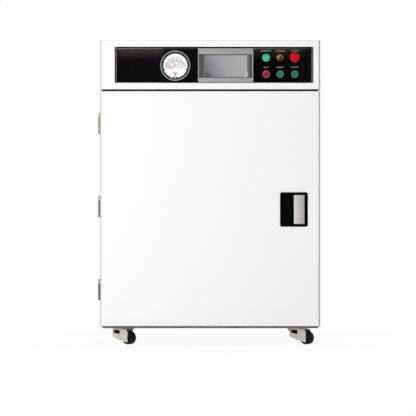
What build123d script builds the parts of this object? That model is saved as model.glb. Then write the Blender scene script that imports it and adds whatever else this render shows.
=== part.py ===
"""Vacuum oven on casters: heated chamber, sealed door, and a console with gauge, touch panel and buttons."""

import os
from math import cos, radians, sin, tan

from build123d import *

os.makedirs("parts", exist_ok=True)

# ---------------------------------------------------------------- driving dimensions, in millimetres
# cabinet, with the origin on the floor under its middle and the door towards -Y
cabinet_width = 880
cabinet_depth = 760
cabinet_height = 1221
sheet = 2
fold = 15
sill = 8
slip = 0.3
seam = 0.1
running = 0.05

# door
door_thickness = 60
door_gap = 4
door_edge_radius = 6
door_plate_thickness = 6
pad_rise = 14
pad_margin = 10
pad_wall = 4
door_open_angle = 150

# console above the door
console_height = 196
console_gap = 7
console_edge_radius = 3
fascia_left_margin = 57.5
fascia_right_margin = 27.5
fascia_top_margin = 26
fascia_bottom_margin = 25
fascia_thickness = 3
fascia_lap = 8

# chamber
chamber_rise = 158
side_air = 67.7
top_air = 38.7
service_bay = 83.7
chamber_wall = 6
chamber_corner = 20
flange_width = 40
flange_thickness = 12
insulation_thickness = 80
insulation_back = 60
heater_thickness = 4
heater_margin = 60
post_size = 40
post_wall = 3
post_inset = 100
post_front_gap = 96
post_back_gap = 84
post_foot = 70
post_foot_thickness = 4
deck_drop = 14

# shelves
shelf_count = 3
shelf_first = 110
shelf_pitch = 160
shelf_thickness = 5
shelf_side_gap = 3
shelf_setback = 35
shelf_back_gap = 25
rail_height = 20
rail_reach = 18
rail_thickness = 2

# door seal
seal_inset = 12
seal_width = 16
seal_groove = 4
seal_squeeze = 0.3

# gauge
gauge_x = -140
gauge_rise = -3.5
gauge_radius = 60.3
gauge_body_radius = 57
gauge_back_gap = 10
gauge_stand = 6
gauge_wall = 4
gauge_window_radius = 52.5
gauge_lip = 4
gauge_edge_radius = 3.6
glass_thickness = 2
dial_thickness = 1
dial_drop = 8
pointer_drop = 35
pointer_length = 58
pointer_width = 2.4
pointer_hub_radius = 4.8
pointer_sweep = 80
zero_screw_drop = 48.5
zero_screw_radius = 3
zero_slot = 1

# touch panel
touch_x = 61.5
touch_rise = -1.9
touch_width = 221
touch_height = 136
touch_stand = 5
touch_box_width = 203
touch_box_height = 121
touch_back_gap = 24
screen_width = 171
screen_height = 89
screen_drop_z = 4
screen_thickness = 2
screen_recess = 1

# buttons and lamps
left_column_x = 224
middle_column_x = 279.5
right_column_x = 338
upper_row_rise = 28.9
lower_row_rise = -37.1
barrel_radius = 11
barrel_wall = 1.6
barrel_depth = 16
bezel_radius = 14.5
bezel_stand = 4
bezel_rim = 2.1
bezel_recess = 2.4
cap_stand = 4
cap_head_radius = 11.4
cap_head = 2.8
cap_clearance = 0.4
cap_travel = 3
green_lens_radius = 16
amber_lens_radius = 14.5
lens_height = 7
lens_edge_radius = 5.6
block_width = 30
block_back_gap = 22
emergency_collar_radius = 15.5
emergency_collar_stand = 6
emergency_stem_radius = 8
emergency_travel = 4
emergency_head_radius = 20
emergency_head_height = 15
emergency_head_front_radius = 9
emergency_head_back_radius = 3
emergency_socket_radius = 6

# latch in the door
dish_inset = 50
dish_rise = 467
dish_width = 111
dish_height = 138
dish_corner = 8
dish_lap = 3
dish_stand = 1.5
dish_wall = 2
paddle_width = 43.4
paddle_end_gap = 5.5
paddle_thickness = 6
paddle_chamfer = 1
pivot_inset = 18
pivot_depth = 10
trunnion_radius = 4
hub_radius = 6
bearing_size = 16
bearing_length = 6
paddle_angle = 35
arm_thickness = 6
arm_height = 12
bolt_thickness = 16
bolt_height = 24
bolt_tail = 22
latch_room = 4.4
bolt_back_wall = 2.7
bolt_chamfer = 3
guide_wall = 3
keeper_inset = 20
keeper_thickness = 4
keeper_height = 36
keeper_reach = 36
keeper_foot = 14
keeper_foot_gap = 1
keeper_gap = 0.5
keeper_slot_margin = 7

# hinges on the left side
hinge_spacing = 334
hinge_rise = 478
hinge_height = 84
hinge_leaf = 3
hinge_leaf_length = 42
knuckle_radius = 6
knuckle_play = 0.3
hinge_pin_radius = 3
hinge_pin_head = 2

# casters
caster_side_inset = 81
caster_front_inset = 45
caster_back_inset = 55
caster_headroom = 6.5
caster_plate_width = 66
caster_plate_depth = 60
caster_plate = 3
raceway_radius = 18
raceway_height = 4
kingpin_radius = 5
kingpin_length = 5
crown_thickness = 2.5
crown_radius = 22
wheel_radius = 26.5
wheel_width = 30
wheel_edge = 4
wheel_play = 1.5
leg_thickness = 2.5
caster_trail = 40
axle_radius = 4
axle_head_radius = 6
axle_head = 3
window_lead = 27
window_lead_top = 24
window_lead_bottom = 46
window_trail = 5.5
window_trail_bottom = 40.5
window_top_gap = 2
leg_lead = 32
leg_lead_bottom = 31
leg_toe = 11
leg_toe_bottom = 21
leg_sole = 15
leg_sole_end = 10
leg_heel = 7
leg_heel_bottom = 9
leg_heel_top = 50
leg_top_end = 38

# services at the back
port_x = 150
port_drop = 100
port_bore_radius = 13
port_radius = 16
port_flange_radius = 20
port_flange = 5
port_collar_radius = 30
port_stub = 27
port_inside = 33
pipe_radius = 15
pipe_bore_radius = 12
probe_x = -200
probe_drop = 70
probe_radius = 3
probe_length = 110
fitting_radius = 8
fitting_length = 24
valve_x = 270
valve_drop = 100
valve_width = 44
valve_height = 50
valve_depth = 56
valve_tube_radius = 5
filter_radius = 9
filter_length = 22
filter_neck_radius = 6
gland_x = -300
gland_rise = 88
gland_bore_radius = 6.5
gland_thread_radius = 10
gland_hex_radius = 15
gland_hex = 8
gland_length = 22
gland_nut = 6
louvre_columns = 2
louvre_rows = 9
louvre_width = 100
louvre_height = 6
louvre_pitch = 14
louvre_spacing = 300
louvre_drop = 114
relay_x = 120
relay_y = 60
sink_width = 90
sink_length = 120
sink_base = 6
sink_fins = 9
sink_fin = 2.5
sink_fin_height = 30
relay_width = 45
relay_length = 60
relay_height = 22
panel_screw_radius = 2
panel_screw_head_radius = 4
panel_screw_head = 2.4
panel_screw_inset = 20
panel_screw_columns = 3
panel_screw_rows = 4
wiring_hole_radius = 25
wiring_hole_x = 300

# ---------------------------------------------------------------- places worked out from them
ride_height = 2 * wheel_radius + caster_headroom + crown_thickness + raceway_height + caster_plate
pan_top_z = ride_height + sheet
half_width = cabinet_width / 2
front_y = -cabinet_depth / 2
back_y = cabinet_depth / 2
door_back_y = front_y + door_thickness
frame_y = door_back_y + door_gap
skin_back_y = front_y + sheet
wall_front_y = frame_y + sheet
wall_back_y = back_y - sheet
wall_x = half_width - sheet
wall_top_z = cabinet_height - sheet
door_z = ride_height + sill
console_z = cabinet_height - console_height
door_top_z = console_z - console_gap
plate_front_y = door_back_y - door_plate_thickness

heater_gap = heater_thickness + slip
deck_z = console_z - deck_drop
lining = chamber_wall + heater_gap
chamber_floor_z = ride_height + chamber_rise
chamber_width = 2 * (wall_x - side_air - insulation_thickness - lining)
chamber_height = deck_z - fold - top_air - insulation_thickness - lining - chamber_floor_z
chamber_back_y = wall_back_y - service_bay - insulation_back - lining
chamber_z = chamber_floor_z + chamber_height / 2
shell_width = chamber_width + 2 * chamber_wall
shell_height = chamber_height + 2 * chamber_wall
shell_back_y = chamber_back_y + chamber_wall
flange_size = (chamber_width + 2 * flange_width, chamber_height + 2 * flange_width)
wrap_front_y = frame_y + flange_thickness + slip
wrap_back_y = shell_back_y + heater_gap + insulation_back
shelf_levels = [chamber_floor_z + shelf_first + n * shelf_pitch for n in range(shelf_count)]
shelf_front_y = frame_y + shelf_setback
shelf_depth = chamber_back_y - shelf_back_gap - shelf_front_y
post_x = chamber_width / 2 - post_inset
post_front_y = frame_y + post_front_gap
post_back_y = chamber_back_y - post_back_gap
chamber_ceiling_z = chamber_floor_z + chamber_height
port_z = chamber_ceiling_z - port_drop
probe_z = chamber_ceiling_z - probe_drop
valve_z = chamber_ceiling_z - valve_drop
gland_z = ride_height + gland_rise
louvre_z = cabinet_height - louvre_drop

fascia_width = cabinet_width - fascia_left_margin - fascia_right_margin
fascia_height = console_height - fascia_top_margin - fascia_bottom_margin
fascia_shift = (fascia_left_margin - fascia_right_margin) / 2
fascia_z = console_z + fascia_bottom_margin + fascia_height / 2
gauge_z = fascia_z + gauge_rise
touch_z = fascia_z + touch_rise
upper_row_z = fascia_z + upper_row_rise
lower_row_z = fascia_z + lower_row_rise
fascia_back_y = skin_back_y + fascia_thickness
block_front_y = skin_back_y + barrel_depth
block_back_y = frame_y - block_back_gap
controls = {
    "green_lamp": (left_column_x, upper_row_z),
    "amber_lamp": (middle_column_x, upper_row_z),
    "emergency": (right_column_x, upper_row_z),
    "stop": (left_column_x, lower_row_z),
    "heat": (middle_column_x, lower_row_z),
    "pump": (right_column_x, lower_row_z),
}

dish_x = half_width - dish_inset - dish_width / 2
dish_z = door_z + dish_rise
pivot_x = half_width - dish_inset - pivot_inset
pivot_y = front_y + pivot_depth
keeper_x = half_width - keeper_inset
floor_back_y = plate_front_y - latch_room - guide_wall - bolt_thickness - 2 * slip
floor_front_y = floor_back_y - dish_wall
tub_width = dish_width - 2 * dish_lap
tub_height = dish_height - 2 * dish_lap
paddle_height = tub_height - 2 * dish_wall - 2 * paddle_end_gap
bolt_front_y = floor_back_y + slip
bolt_back_y = bolt_front_y + bolt_thickness
arm_reach = bolt_front_y + bolt_thickness / 2 - pivot_y
bolt_travel = arm_reach * sin(radians(paddle_angle))
bolt_tip_x = keeper_x - keeper_gap
bolt_start_x = pivot_x - bolt_tail
bearing_top = tub_height / 2 + bearing_length

hinge_x = -half_width - knuckle_radius
hinge_y = (door_back_y + frame_y) / 2
hinge_levels = [door_z + hinge_rise + n * hinge_spacing for n in (-1, 0, 1)]
knuckle_height = hinge_height / 3

crown_top_z = ride_height - caster_plate - raceway_height
crown_bottom_z = crown_top_z - crown_thickness
leg_gap = wheel_width / 2 + wheel_play
leg_outside = leg_gap + leg_thickness
caster_x = half_width - caster_side_inset
front_caster_y = frame_y + caster_front_inset
back_caster_y = back_y - caster_back_inset
casters = {
    "front_left": (-caster_x, front_caster_y, -38),
    "front_right": (caster_x, front_caster_y, -38),
    "rear_left": (-caster_x, back_caster_y, 128),
    "rear_right": (caster_x, back_caster_y, 74),
}


def block(x, y, z, mode=Mode.ADD):
    """A box between two values on each axis."""
    with Locations((x[0], y[0], z[0])):
        Box(x[1] - x[0], y[1] - y[0], z[1] - z[0], align=(Align.MIN, Align.MIN, Align.MIN), mode=mode)


def facing(y):
    """The upright sketch plane at a depth y, with X to the right and Z up."""
    return Plane(origin=(0, y, 0), x_dir=(1, 0, 0), z_dir=(0, -1, 0))


def rounded_slab(x, z, size, corner, y, mode=Mode.ADD):
    """An upright slab with rounded corners, between two depths."""
    with BuildSketch(facing(y[0])) as outline:
        with Locations((x, z)):
            RectangleRounded(size[0], size[1], corner)
    extrude(outline.sketch, amount=y[0] - y[1], mode=mode)


def disc(x, z, radius, y, mode=Mode.ADD):
    """A cylinder lying along Y, between two depths."""
    with BuildSketch(facing(y[0])) as outline:
        with Locations((x, z)):
            Circle(radius)
    extrude(outline.sketch, amount=y[0] - y[1], mode=mode)


def pole(x, y, radius, z, mode=Mode.ADD):
    """An upright cylinder between two heights."""
    with Locations((x, y, z[0])):
        Cylinder(radius, z[1] - z[0], align=(Align.CENTER, Align.CENTER, Align.MIN), mode=mode)


# ---------------------------------------------------------------- cabinet
with BuildPart() as base_pan:
    block((-wall_x, wall_x), (wall_front_y, wall_back_y), (ride_height, ride_height + fold))
    offset(amount=-sheet, openings=base_pan.faces().sort_by(Axis.Z)[-1])
base_pan.part.label = "base_pan"
export_step(base_pan.part, "parts/base_pan.step")

with BuildPart() as left_side_panel:
    block((-half_width, -wall_x), (wall_front_y, wall_back_y), (ride_height, wall_top_z))
left_side_panel.part.label = "left_side_panel"
export_step(left_side_panel.part, "parts/left_side_panel.step")

with BuildPart() as right_side_panel:
    block((wall_x, half_width), (wall_front_y, wall_back_y), (ride_height, wall_top_z))
right_side_panel.part.label = "right_side_panel"
export_step(right_side_panel.part, "parts/right_side_panel.step")

with BuildPart() as top_panel:
    block((-wall_x, wall_x), (wall_front_y, wall_back_y), (wall_top_z - fold, cabinet_height))
    offset(amount=-sheet, openings=top_panel.faces().sort_by(Axis.Z)[0])
    block((-half_width, half_width), (frame_y, back_y), (wall_top_z, cabinet_height))
top_panel.part.label = "top_panel"
export_step(top_panel.part, "parts/top_panel.step")

screw_x = half_width - panel_screw_inset
screw_bottom_z = ride_height + panel_screw_inset
screw_top_z = wall_top_z - panel_screw_inset
screw_pitch_x = 2 * screw_x / (panel_screw_columns - 1)
screw_pitch_z = (screw_top_z - screw_bottom_z) / (panel_screw_rows - 1)
screw_places = [
    (-screw_x + column * screw_pitch_x, screw_bottom_z + row * screw_pitch_z)
    for column in range(panel_screw_columns)
    for row in range(panel_screw_rows)
    if column in (0, panel_screw_columns - 1) or row in (0, panel_screw_rows - 1)
]

with BuildPart() as rear_panel:
    block((-half_width, half_width), (wall_back_y, back_y), (ride_height, wall_top_z))
    with BuildSketch(facing(wall_back_y)):
        with Locations((0, louvre_z)):
            with GridLocations(louvre_spacing, louvre_pitch, louvre_columns, louvre_rows):
                SlotOverall(louvre_width, louvre_height)
        with Locations((port_x, port_z)):
            Circle(port_radius + seam)
        with Locations((valve_x, valve_z)):
            Circle(filter_neck_radius + seam)
        with Locations((gland_x, gland_z)):
            Circle(gland_thread_radius + seam)
        with Locations(screw_places):
            Circle(panel_screw_radius + seam)
    extrude(amount=-sheet, mode=Mode.SUBTRACT)
rear_panel.part.label = "rear_panel"
export_step(rear_panel.part, "parts/rear_panel.step")

with BuildPart() as panel_screws:
    with BuildSketch(facing(back_y)):
        with Locations(screw_places):
            Circle(panel_screw_head_radius)
    extrude(amount=-panel_screw_head)
    with BuildSketch(facing(wall_back_y)):
        with Locations(screw_places):
            Circle(panel_screw_radius)
    extrude(amount=-sheet)
panel_screws.part.label = "panel_screws"
export_step(panel_screws.part, "parts/panel_screws.step")

with BuildPart() as front_frame:
    block((-half_width, half_width), (frame_y, wall_front_y), (ride_height, wall_top_z))
    frame_hole = (flange_size[0] + 2 * slip, flange_size[1] + 2 * slip)
    rounded_slab(0, chamber_z, frame_hole, chamber_corner, (frame_y, wall_front_y), Mode.SUBTRACT)
    for side in (-1, 1):
        disc(side * wiring_hole_x, fascia_z, wiring_hole_radius, (frame_y, wall_front_y), Mode.SUBTRACT)
front_frame.part.label = "front_frame"
export_step(front_frame.part, "parts/front_frame.step")

with BuildPart() as console_deck:
    block((-wall_x, wall_x), (wall_front_y, wall_back_y), (deck_z - fold, deck_z))
    offset(amount=-sheet, openings=console_deck.faces().sort_by(Axis.Z)[0])
    pole(-wiring_hole_x, 0, wiring_hole_radius, (deck_z - sheet, deck_z), Mode.SUBTRACT)
console_deck.part.label = "console_deck"
export_step(console_deck.part, "parts/console_deck.step")

# ---------------------------------------------------------------- chamber and what surrounds it
with BuildPart() as vacuum_chamber:
    rounded_slab(0, chamber_z, flange_size, chamber_corner, (frame_y, frame_y + flange_thickness))
    shell_size = (shell_width, shell_height)
    rounded_slab(0, chamber_z, shell_size, chamber_corner + chamber_wall, (frame_y, shell_back_y))
    mouth_size = (chamber_width, chamber_height)
    rounded_slab(0, chamber_z, mouth_size, chamber_corner, (frame_y, chamber_back_y), Mode.SUBTRACT)
    disc(port_x, port_z, pipe_radius + seam, (chamber_back_y, shell_back_y), Mode.SUBTRACT)
    disc(probe_x, probe_z, probe_radius + seam, (chamber_back_y, shell_back_y), Mode.SUBTRACT)
vacuum_chamber.part.label = "vacuum_chamber"
export_step(vacuum_chamber.part, "parts/vacuum_chamber.step")

post_places = [(side * post_x, y) for side in (-1, 1) for y in (post_front_y, post_back_y)]
post_top_z = chamber_floor_z - chamber_wall
with BuildPart() as chamber_stand:
    for x, y in post_places:
        with BuildSketch(Plane.XY.offset(pan_top_z)):
            with Locations((x, y)):
                Rectangle(post_foot, post_foot)
        extrude(amount=post_foot_thickness)
        with BuildSketch(Plane.XY.offset(pan_top_z)):
            with Locations((x, y)):
                Rectangle(post_size, post_size)
        extrude(amount=post_top_z - pan_top_z)
        with BuildSketch(Plane.XY.offset(pan_top_z)):
            with Locations((x, y)):
                Rectangle(post_size - 2 * post_wall, post_size - 2 * post_wall)
        extrude(amount=post_top_z - pan_top_z, mode=Mode.SUBTRACT)
chamber_stand.part.label = "chamber_stand"
export_step(chamber_stand.part, "parts/chamber_stand.step")

with BuildPart() as chamber_insulation:
    hollow_size = (shell_width + 2 * heater_gap, shell_height + 2 * heater_gap)
    hollow_y = (wrap_front_y, shell_back_y + heater_gap)
    wrap_size = (hollow_size[0] + 2 * insulation_thickness, hollow_size[1] + 2 * insulation_thickness)
    rounded_slab(0, chamber_z, wrap_size, chamber_corner, (wrap_front_y, wrap_back_y))
    rounded_slab(0, chamber_z, hollow_size, chamber_corner + chamber_wall, hollow_y, Mode.SUBTRACT)
    for x, y in post_places:
        hole = post_size / 2 + slip
        block((x - hole, x + hole), (y - hole, y + hole), (ride_height, chamber_floor_z), Mode.SUBTRACT)
    disc(port_x, port_z, pipe_radius + slip, (shell_back_y, wrap_back_y), Mode.SUBTRACT)
    disc(probe_x, probe_z, fitting_radius + slip, (shell_back_y, wrap_back_y), Mode.SUBTRACT)
    disc(valve_x, valve_z, valve_tube_radius + slip, (shell_back_y, wrap_back_y), Mode.SUBTRACT)
chamber_insulation.part.label = "chamber_insulation"
export_step(chamber_insulation.part, "parts/chamber_insulation.step")

heater_front_y = wrap_front_y + heater_margin
heater_back_y = chamber_back_y - heater_margin
heater_x = shell_width / 2
heater_bottom_x = post_x - post_size / 2 - heater_margin / 2
with BuildPart() as heater_pads:
    for side in (-1, 1):
        side_x = sorted((side * heater_x, side * (heater_x + heater_thickness)))
        low_z = chamber_floor_z + heater_margin
        high_z = chamber_floor_z + chamber_height - heater_margin
        block(side_x, (heater_front_y, heater_back_y), (low_z, high_z))
        level = chamber_z + side * shell_height / 2
        level_z = sorted((level, level + side * heater_thickness))
        block((-heater_bottom_x, heater_bottom_x), (heater_front_y, heater_back_y), level_z)
    back_y_range = (shell_back_y, shell_back_y + heater_thickness)
    back_high_z = port_z - pipe_radius - heater_margin / 2
    block((-heater_bottom_x, heater_bottom_x), back_y_range, (chamber_floor_z + heater_margin, back_high_z))
heater_pads.part.label = "heater_pads"
export_step(heater_pads.part, "parts/heater_pads.step")

with BuildPart() as shelf_rails:
    for side in (-1, 1):
        for level in shelf_levels:
            wall = side * chamber_width / 2
            rail_y = (shelf_front_y, shelf_front_y + shelf_depth)
            block(sorted((wall, wall - side * rail_thickness)), rail_y, (level - rail_height, level))
            block(sorted((wall, wall - side * rail_reach)), rail_y, (level - rail_thickness, level))
shelf_rails.part.label = "shelf_rails"
export_step(shelf_rails.part, "parts/shelf_rails.step")

with BuildPart() as shelves:
    for level in shelf_levels:
        with BuildSketch(Plane.XY.offset(level)):
            with Locations((0, shelf_front_y + shelf_depth / 2)):
                RectangleRounded(chamber_width - 2 * shelf_side_gap, shelf_depth, rail_thickness)
        extrude(amount=shelf_thickness)
shelves.part.label = "shelves"
export_step(shelves.part, "parts/shelves.step")

# ---------------------------------------------------------------- services at the back
with BuildPart() as temperature_probe:
    disc(probe_x, probe_z, probe_radius, (chamber_back_y - probe_length, shell_back_y))
    disc(probe_x, probe_z, fitting_radius, (shell_back_y, shell_back_y + fitting_length))
temperature_probe.part.label = "temperature_probe"
export_step(temperature_probe.part, "parts/temperature_probe.step")

port_inner_y = back_y - port_inside
port_outer_y = back_y + port_stub
with BuildPart() as vacuum_port:
    disc(port_x, port_z, port_radius, (port_inner_y, port_outer_y))
    disc(port_x, port_z, port_collar_radius, (back_y, back_y + port_flange))
    disc(port_x, port_z, port_flange_radius, (port_outer_y - port_flange, port_outer_y))
    disc(port_x, port_z, port_bore_radius, (port_inner_y, port_outer_y), Mode.SUBTRACT)
vacuum_port.part.label = "vacuum_port"
export_step(vacuum_port.part, "parts/vacuum_port.step")

with BuildPart() as vacuum_pipe:
    disc(port_x, port_z, pipe_radius, (chamber_back_y, port_inner_y))
    disc(port_x, port_z, pipe_bore_radius, (chamber_back_y, port_inner_y), Mode.SUBTRACT)
vacuum_pipe.part.label = "vacuum_pipe"
export_step(vacuum_pipe.part, "parts/vacuum_pipe.step")

with BuildPart() as vent_valve:
    valve_front_y = wall_back_y - valve_depth
    half_valve = (valve_width / 2, valve_height / 2)
    block(
        (valve_x - half_valve[0], valve_x + half_valve[0]),
        (valve_front_y, wall_back_y),
        (valve_z - half_valve[1], valve_z + half_valve[1]),
    )
    disc(valve_x, valve_z, valve_tube_radius, (shell_back_y, valve_front_y))
    disc(valve_x, valve_z, filter_neck_radius, (wall_back_y, back_y))
    disc(valve_x, valve_z, filter_radius, (back_y, back_y + filter_length))
    fillet(vent_valve.faces().sort_by(Axis.Y)[-1].edges(), radius=filter_radius / 2)
vent_valve.part.label = "vent_valve"
export_step(vent_valve.part, "parts/vent_valve.step")

with BuildPart() as cable_gland:
    disc(gland_x, gland_z, gland_thread_radius, (wall_back_y - gland_nut, back_y + gland_length))
    fillet(cable_gland.faces().sort_by(Axis.Y)[-1].edges(), radius=gland_nut / 3)
    with BuildSketch(facing(wall_back_y - gland_nut)):
        with Locations((gland_x, gland_z)):
            RegularPolygon(gland_hex_radius, 6)
    extrude(amount=-gland_nut)
    with BuildSketch(facing(back_y)):
        with Locations((gland_x, gland_z)):
            RegularPolygon(gland_hex_radius, 6)
    extrude(amount=-gland_hex)
    gland_y = (wall_back_y - gland_nut, back_y + gland_length)
    disc(gland_x, gland_z, gland_bore_radius, gland_y, Mode.SUBTRACT)
cable_gland.part.label = "cable_gland"
export_step(cable_gland.part, "parts/cable_gland.step")

# the relay and its finned heat sink, as one block on the deck
sink_top_z = deck_z + sink_fin_height + sink_base
fin_pitch = (sink_width - sink_fin) / (sink_fins - 1)
with BuildPart() as solid_state_relay:
    with Locations((relay_x, relay_y, deck_z)):
        with GridLocations(fin_pitch, 0, sink_fins, 1):
            Box(sink_fin, sink_length, sink_fin_height, align=(Align.CENTER, Align.CENTER, Align.MIN))
    with Locations((relay_x, relay_y, deck_z + sink_fin_height)):
        Box(sink_width, sink_length, sink_base, align=(Align.CENTER, Align.CENTER, Align.MIN))
    with BuildSketch(Plane.XY.offset(sink_top_z)):
        with Locations((relay_x, relay_y)):
            Rectangle(relay_width, relay_length)
    extrude(amount=relay_height)
    chamfer(solid_state_relay.faces().sort_by(Axis.Z)[-1].edges(), length=sheet)
solid_state_relay.part.label = "solid_state_relay"
export_step(solid_state_relay.part, "parts/solid_state_relay.step")

# ---------------------------------------------------------------- console
with BuildPart() as console_panel:
    block((-half_width, half_width), (front_y, frame_y), (console_z, cabinet_height))
    fillet(console_panel.faces().sort_by(Axis.Y)[0].edges(), radius=console_edge_radius)
    offset(amount=-sheet, openings=console_panel.faces().sort_by(Axis.Y)[-1])
    window_x = (fascia_shift - fascia_width / 2, fascia_shift + fascia_width / 2)
    window_z = (fascia_z - fascia_height / 2, fascia_z + fascia_height / 2)
    block(window_x, (front_y, skin_back_y), window_z, Mode.SUBTRACT)
console_panel.part.label = "console_panel"
export_step(console_panel.part, "parts/console_panel.step")

with BuildPart() as console_fascia:
    with BuildSketch(facing(skin_back_y)):
        with Locations((fascia_shift, fascia_z)):
            Rectangle(fascia_width + 2 * fascia_lap, fascia_height + 2 * fascia_lap)
        with Locations((gauge_x, gauge_z)):
            Circle(gauge_body_radius + slip, mode=Mode.SUBTRACT)
        with Locations((touch_x, touch_z)):
            Rectangle(touch_box_width + 2 * slip, touch_box_height + 2 * slip, mode=Mode.SUBTRACT)
        with Locations(list(controls.values())):
            Circle(barrel_radius + seam, mode=Mode.SUBTRACT)
    extrude(amount=-fascia_thickness)
console_fascia.part.label = "console_fascia"
export_step(console_fascia.part, "parts/console_fascia.step")

# gauge: the case hangs in the fascia, the bezel clamps the glass over the dial
case_front_y = skin_back_y - gauge_stand
glass_front_y = case_front_y - glass_thickness
dial_front_y = case_front_y + dial_drop
dial_back_y = dial_front_y + dial_thickness
case_back_y = frame_y - gauge_back_gap
dial_radius = gauge_body_radius - gauge_wall
pivot_z = gauge_z - pointer_drop
with BuildPart() as gauge_case:
    disc(gauge_x, gauge_z, gauge_body_radius, (case_front_y, case_back_y))
    disc(gauge_x, gauge_z, dial_radius, (case_front_y, dial_back_y), Mode.SUBTRACT)
    disc(gauge_x, gauge_z, dial_radius - gauge_wall, (dial_back_y, case_back_y - gauge_wall), Mode.SUBTRACT)
gauge_case.part.label = "gauge_case"
export_step(gauge_case.part, "parts/gauge_case.step")

with BuildPart() as gauge_dial:
    disc(gauge_x, gauge_z, dial_radius - slip, (dial_front_y, dial_back_y))
gauge_dial.part.label = "gauge_dial"
export_step(gauge_dial.part, "parts/gauge_dial.step")

with BuildPart() as gauge_glass:
    disc(gauge_x, gauge_z, gauge_body_radius - seam, (glass_front_y, case_front_y))
    screw_hole_z = gauge_z - zero_screw_drop
    disc(gauge_x, screw_hole_z, zero_screw_radius + running, (glass_front_y, case_front_y), Mode.SUBTRACT)
gauge_glass.part.label = "gauge_glass"
export_step(gauge_glass.part, "parts/gauge_glass.step")

lip_back_y = glass_front_y - slip
with BuildPart() as gauge_bezel:
    disc(gauge_x, gauge_z, gauge_radius, (lip_back_y - gauge_lip, skin_back_y))
    fillet(gauge_bezel.faces().sort_by(Axis.Y)[0].edges(), radius=gauge_edge_radius)
    disc(gauge_x, gauge_z, gauge_body_radius + slip, (lip_back_y, skin_back_y), Mode.SUBTRACT)
    disc(gauge_x, gauge_z, gauge_window_radius, (lip_back_y - gauge_lip, lip_back_y), Mode.SUBTRACT)
gauge_bezel.part.label = "gauge_bezel"
export_step(gauge_bezel.part, "parts/gauge_bezel.step")

start_angle = 90 + pointer_sweep / 2
pointer_tip = (cos(radians(start_angle)) * pointer_length, sin(radians(start_angle)) * pointer_length)
pointer_side = (sin(radians(start_angle)) * pointer_width / 2, -cos(radians(start_angle)) * pointer_width / 2)
with BuildPart() as gauge_pointer:
    pointer_y = dial_front_y - slip
    disc(gauge_x, pivot_z, pointer_hub_radius, (pointer_y - pointer_width, pointer_y))
    with BuildSketch(facing(pointer_y - pointer_width)):
        with Locations((gauge_x, pivot_z)):
            Polygon(
                (-pointer_side[0], -pointer_side[1]),
                pointer_side,
                (pointer_tip[0], pointer_tip[1]),
                align=None,
            )
    extrude(amount=-dial_thickness)
gauge_pointer.part.label = "gauge_pointer"
export_step(gauge_pointer.part, "parts/gauge_pointer.step")

with BuildPart() as gauge_zero_screw:
    screw_y = (glass_front_y - glass_thickness, case_front_y + glass_thickness)
    disc(gauge_x, screw_hole_z, zero_screw_radius, screw_y)
    slot_x = (gauge_x - zero_screw_radius, gauge_x + zero_screw_radius)
    slot_z = (screw_hole_z - zero_slot / 2, screw_hole_z + zero_slot / 2)
    block(slot_x, (screw_y[0], screw_y[0] + zero_slot), slot_z, Mode.SUBTRACT)
gauge_zero_screw.part.label = "gauge_zero_screw"
export_step(gauge_zero_screw.part, "parts/gauge_zero_screw.step")

# touch panel
touch_front_y = skin_back_y - touch_stand
screen_y = (touch_front_y + screen_recess, touch_front_y + screen_recess + screen_thickness)
screen_z = touch_z - screen_drop_z
with BuildPart() as touch_panel_case:
    rounded_slab(touch_x, touch_z, (touch_width, touch_height), sheet, (touch_front_y, skin_back_y))
    chamfer(touch_panel_case.faces().sort_by(Axis.Y)[0].edges(), length=sheet / 2)
    box_size = (touch_box_width, touch_box_height)
    rounded_slab(touch_x, touch_z, box_size, sheet, (skin_back_y, frame_y - touch_back_gap))
    screen_hole = (screen_width + slip, screen_height + slip)
    rounded_slab(touch_x, screen_z, screen_hole, slip, (touch_front_y, screen_y[1]), Mode.SUBTRACT)
touch_panel_case.part.label = "touch_panel_case"
export_step(touch_panel_case.part, "parts/touch_panel_case.step")

with BuildPart() as touch_panel_screen:
    rounded_slab(touch_x, screen_z, (screen_width, screen_height), slip, screen_y)
touch_panel_screen.part.label = "touch_panel_screen"
export_step(touch_panel_screen.part, "parts/touch_panel_screen.step")

# buttons, lamps and the mushroom stop
bore_radius = barrel_radius - barrel_wall
with BuildPart() as button_bezels:
    for name in ("stop", "heat", "pump"):
        x, z = controls[name]
        disc(x, z, bezel_radius, (skin_back_y - bezel_stand, skin_back_y))
        disc(x, z, barrel_radius, (skin_back_y, block_front_y))
        disc(x, z, bore_radius, (skin_back_y - bezel_stand, block_front_y), Mode.SUBTRACT)
        recess_y = (skin_back_y - bezel_stand, skin_back_y - bezel_stand + bezel_recess)
        disc(x, z, bezel_radius - bezel_rim, recess_y, Mode.SUBTRACT)
button_bezels.part.label = "button_bezels"
export_step(button_bezels.part, "parts/button_bezels.step")

for name in ("stop", "heat", "pump"):
    x, z = controls[name]
    with BuildPart() as cap:
        cap_front_y = skin_back_y - bezel_stand - cap_stand
        disc(x, z, bore_radius - cap_clearance, (cap_front_y, block_front_y - cap_travel - cap_clearance))
        disc(x, z, cap_head_radius, (cap_front_y, cap_front_y + cap_head))
        chamfer(cap.faces().sort_by(Axis.Y)[0].edges(), length=cap_clearance)
    cap.part.label = name + "_button_cap"
    export_step(cap.part, f"parts/{name}_button_cap.step")

for name, lens_radius in (("green_lamp", green_lens_radius), ("amber_lamp", amber_lens_radius)):
    x, z = controls[name]
    with BuildPart() as lens:
        disc(x, z, lens_radius, (skin_back_y - lens_height, skin_back_y))
        fillet(lens.faces().sort_by(Axis.Y)[0].edges(), radius=lens_edge_radius)
        disc(x, z, barrel_radius, (skin_back_y, block_front_y))
    lens.part.label = name + "_lens"
    export_step(lens.part, f"parts/{name}_lens.step")

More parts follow.
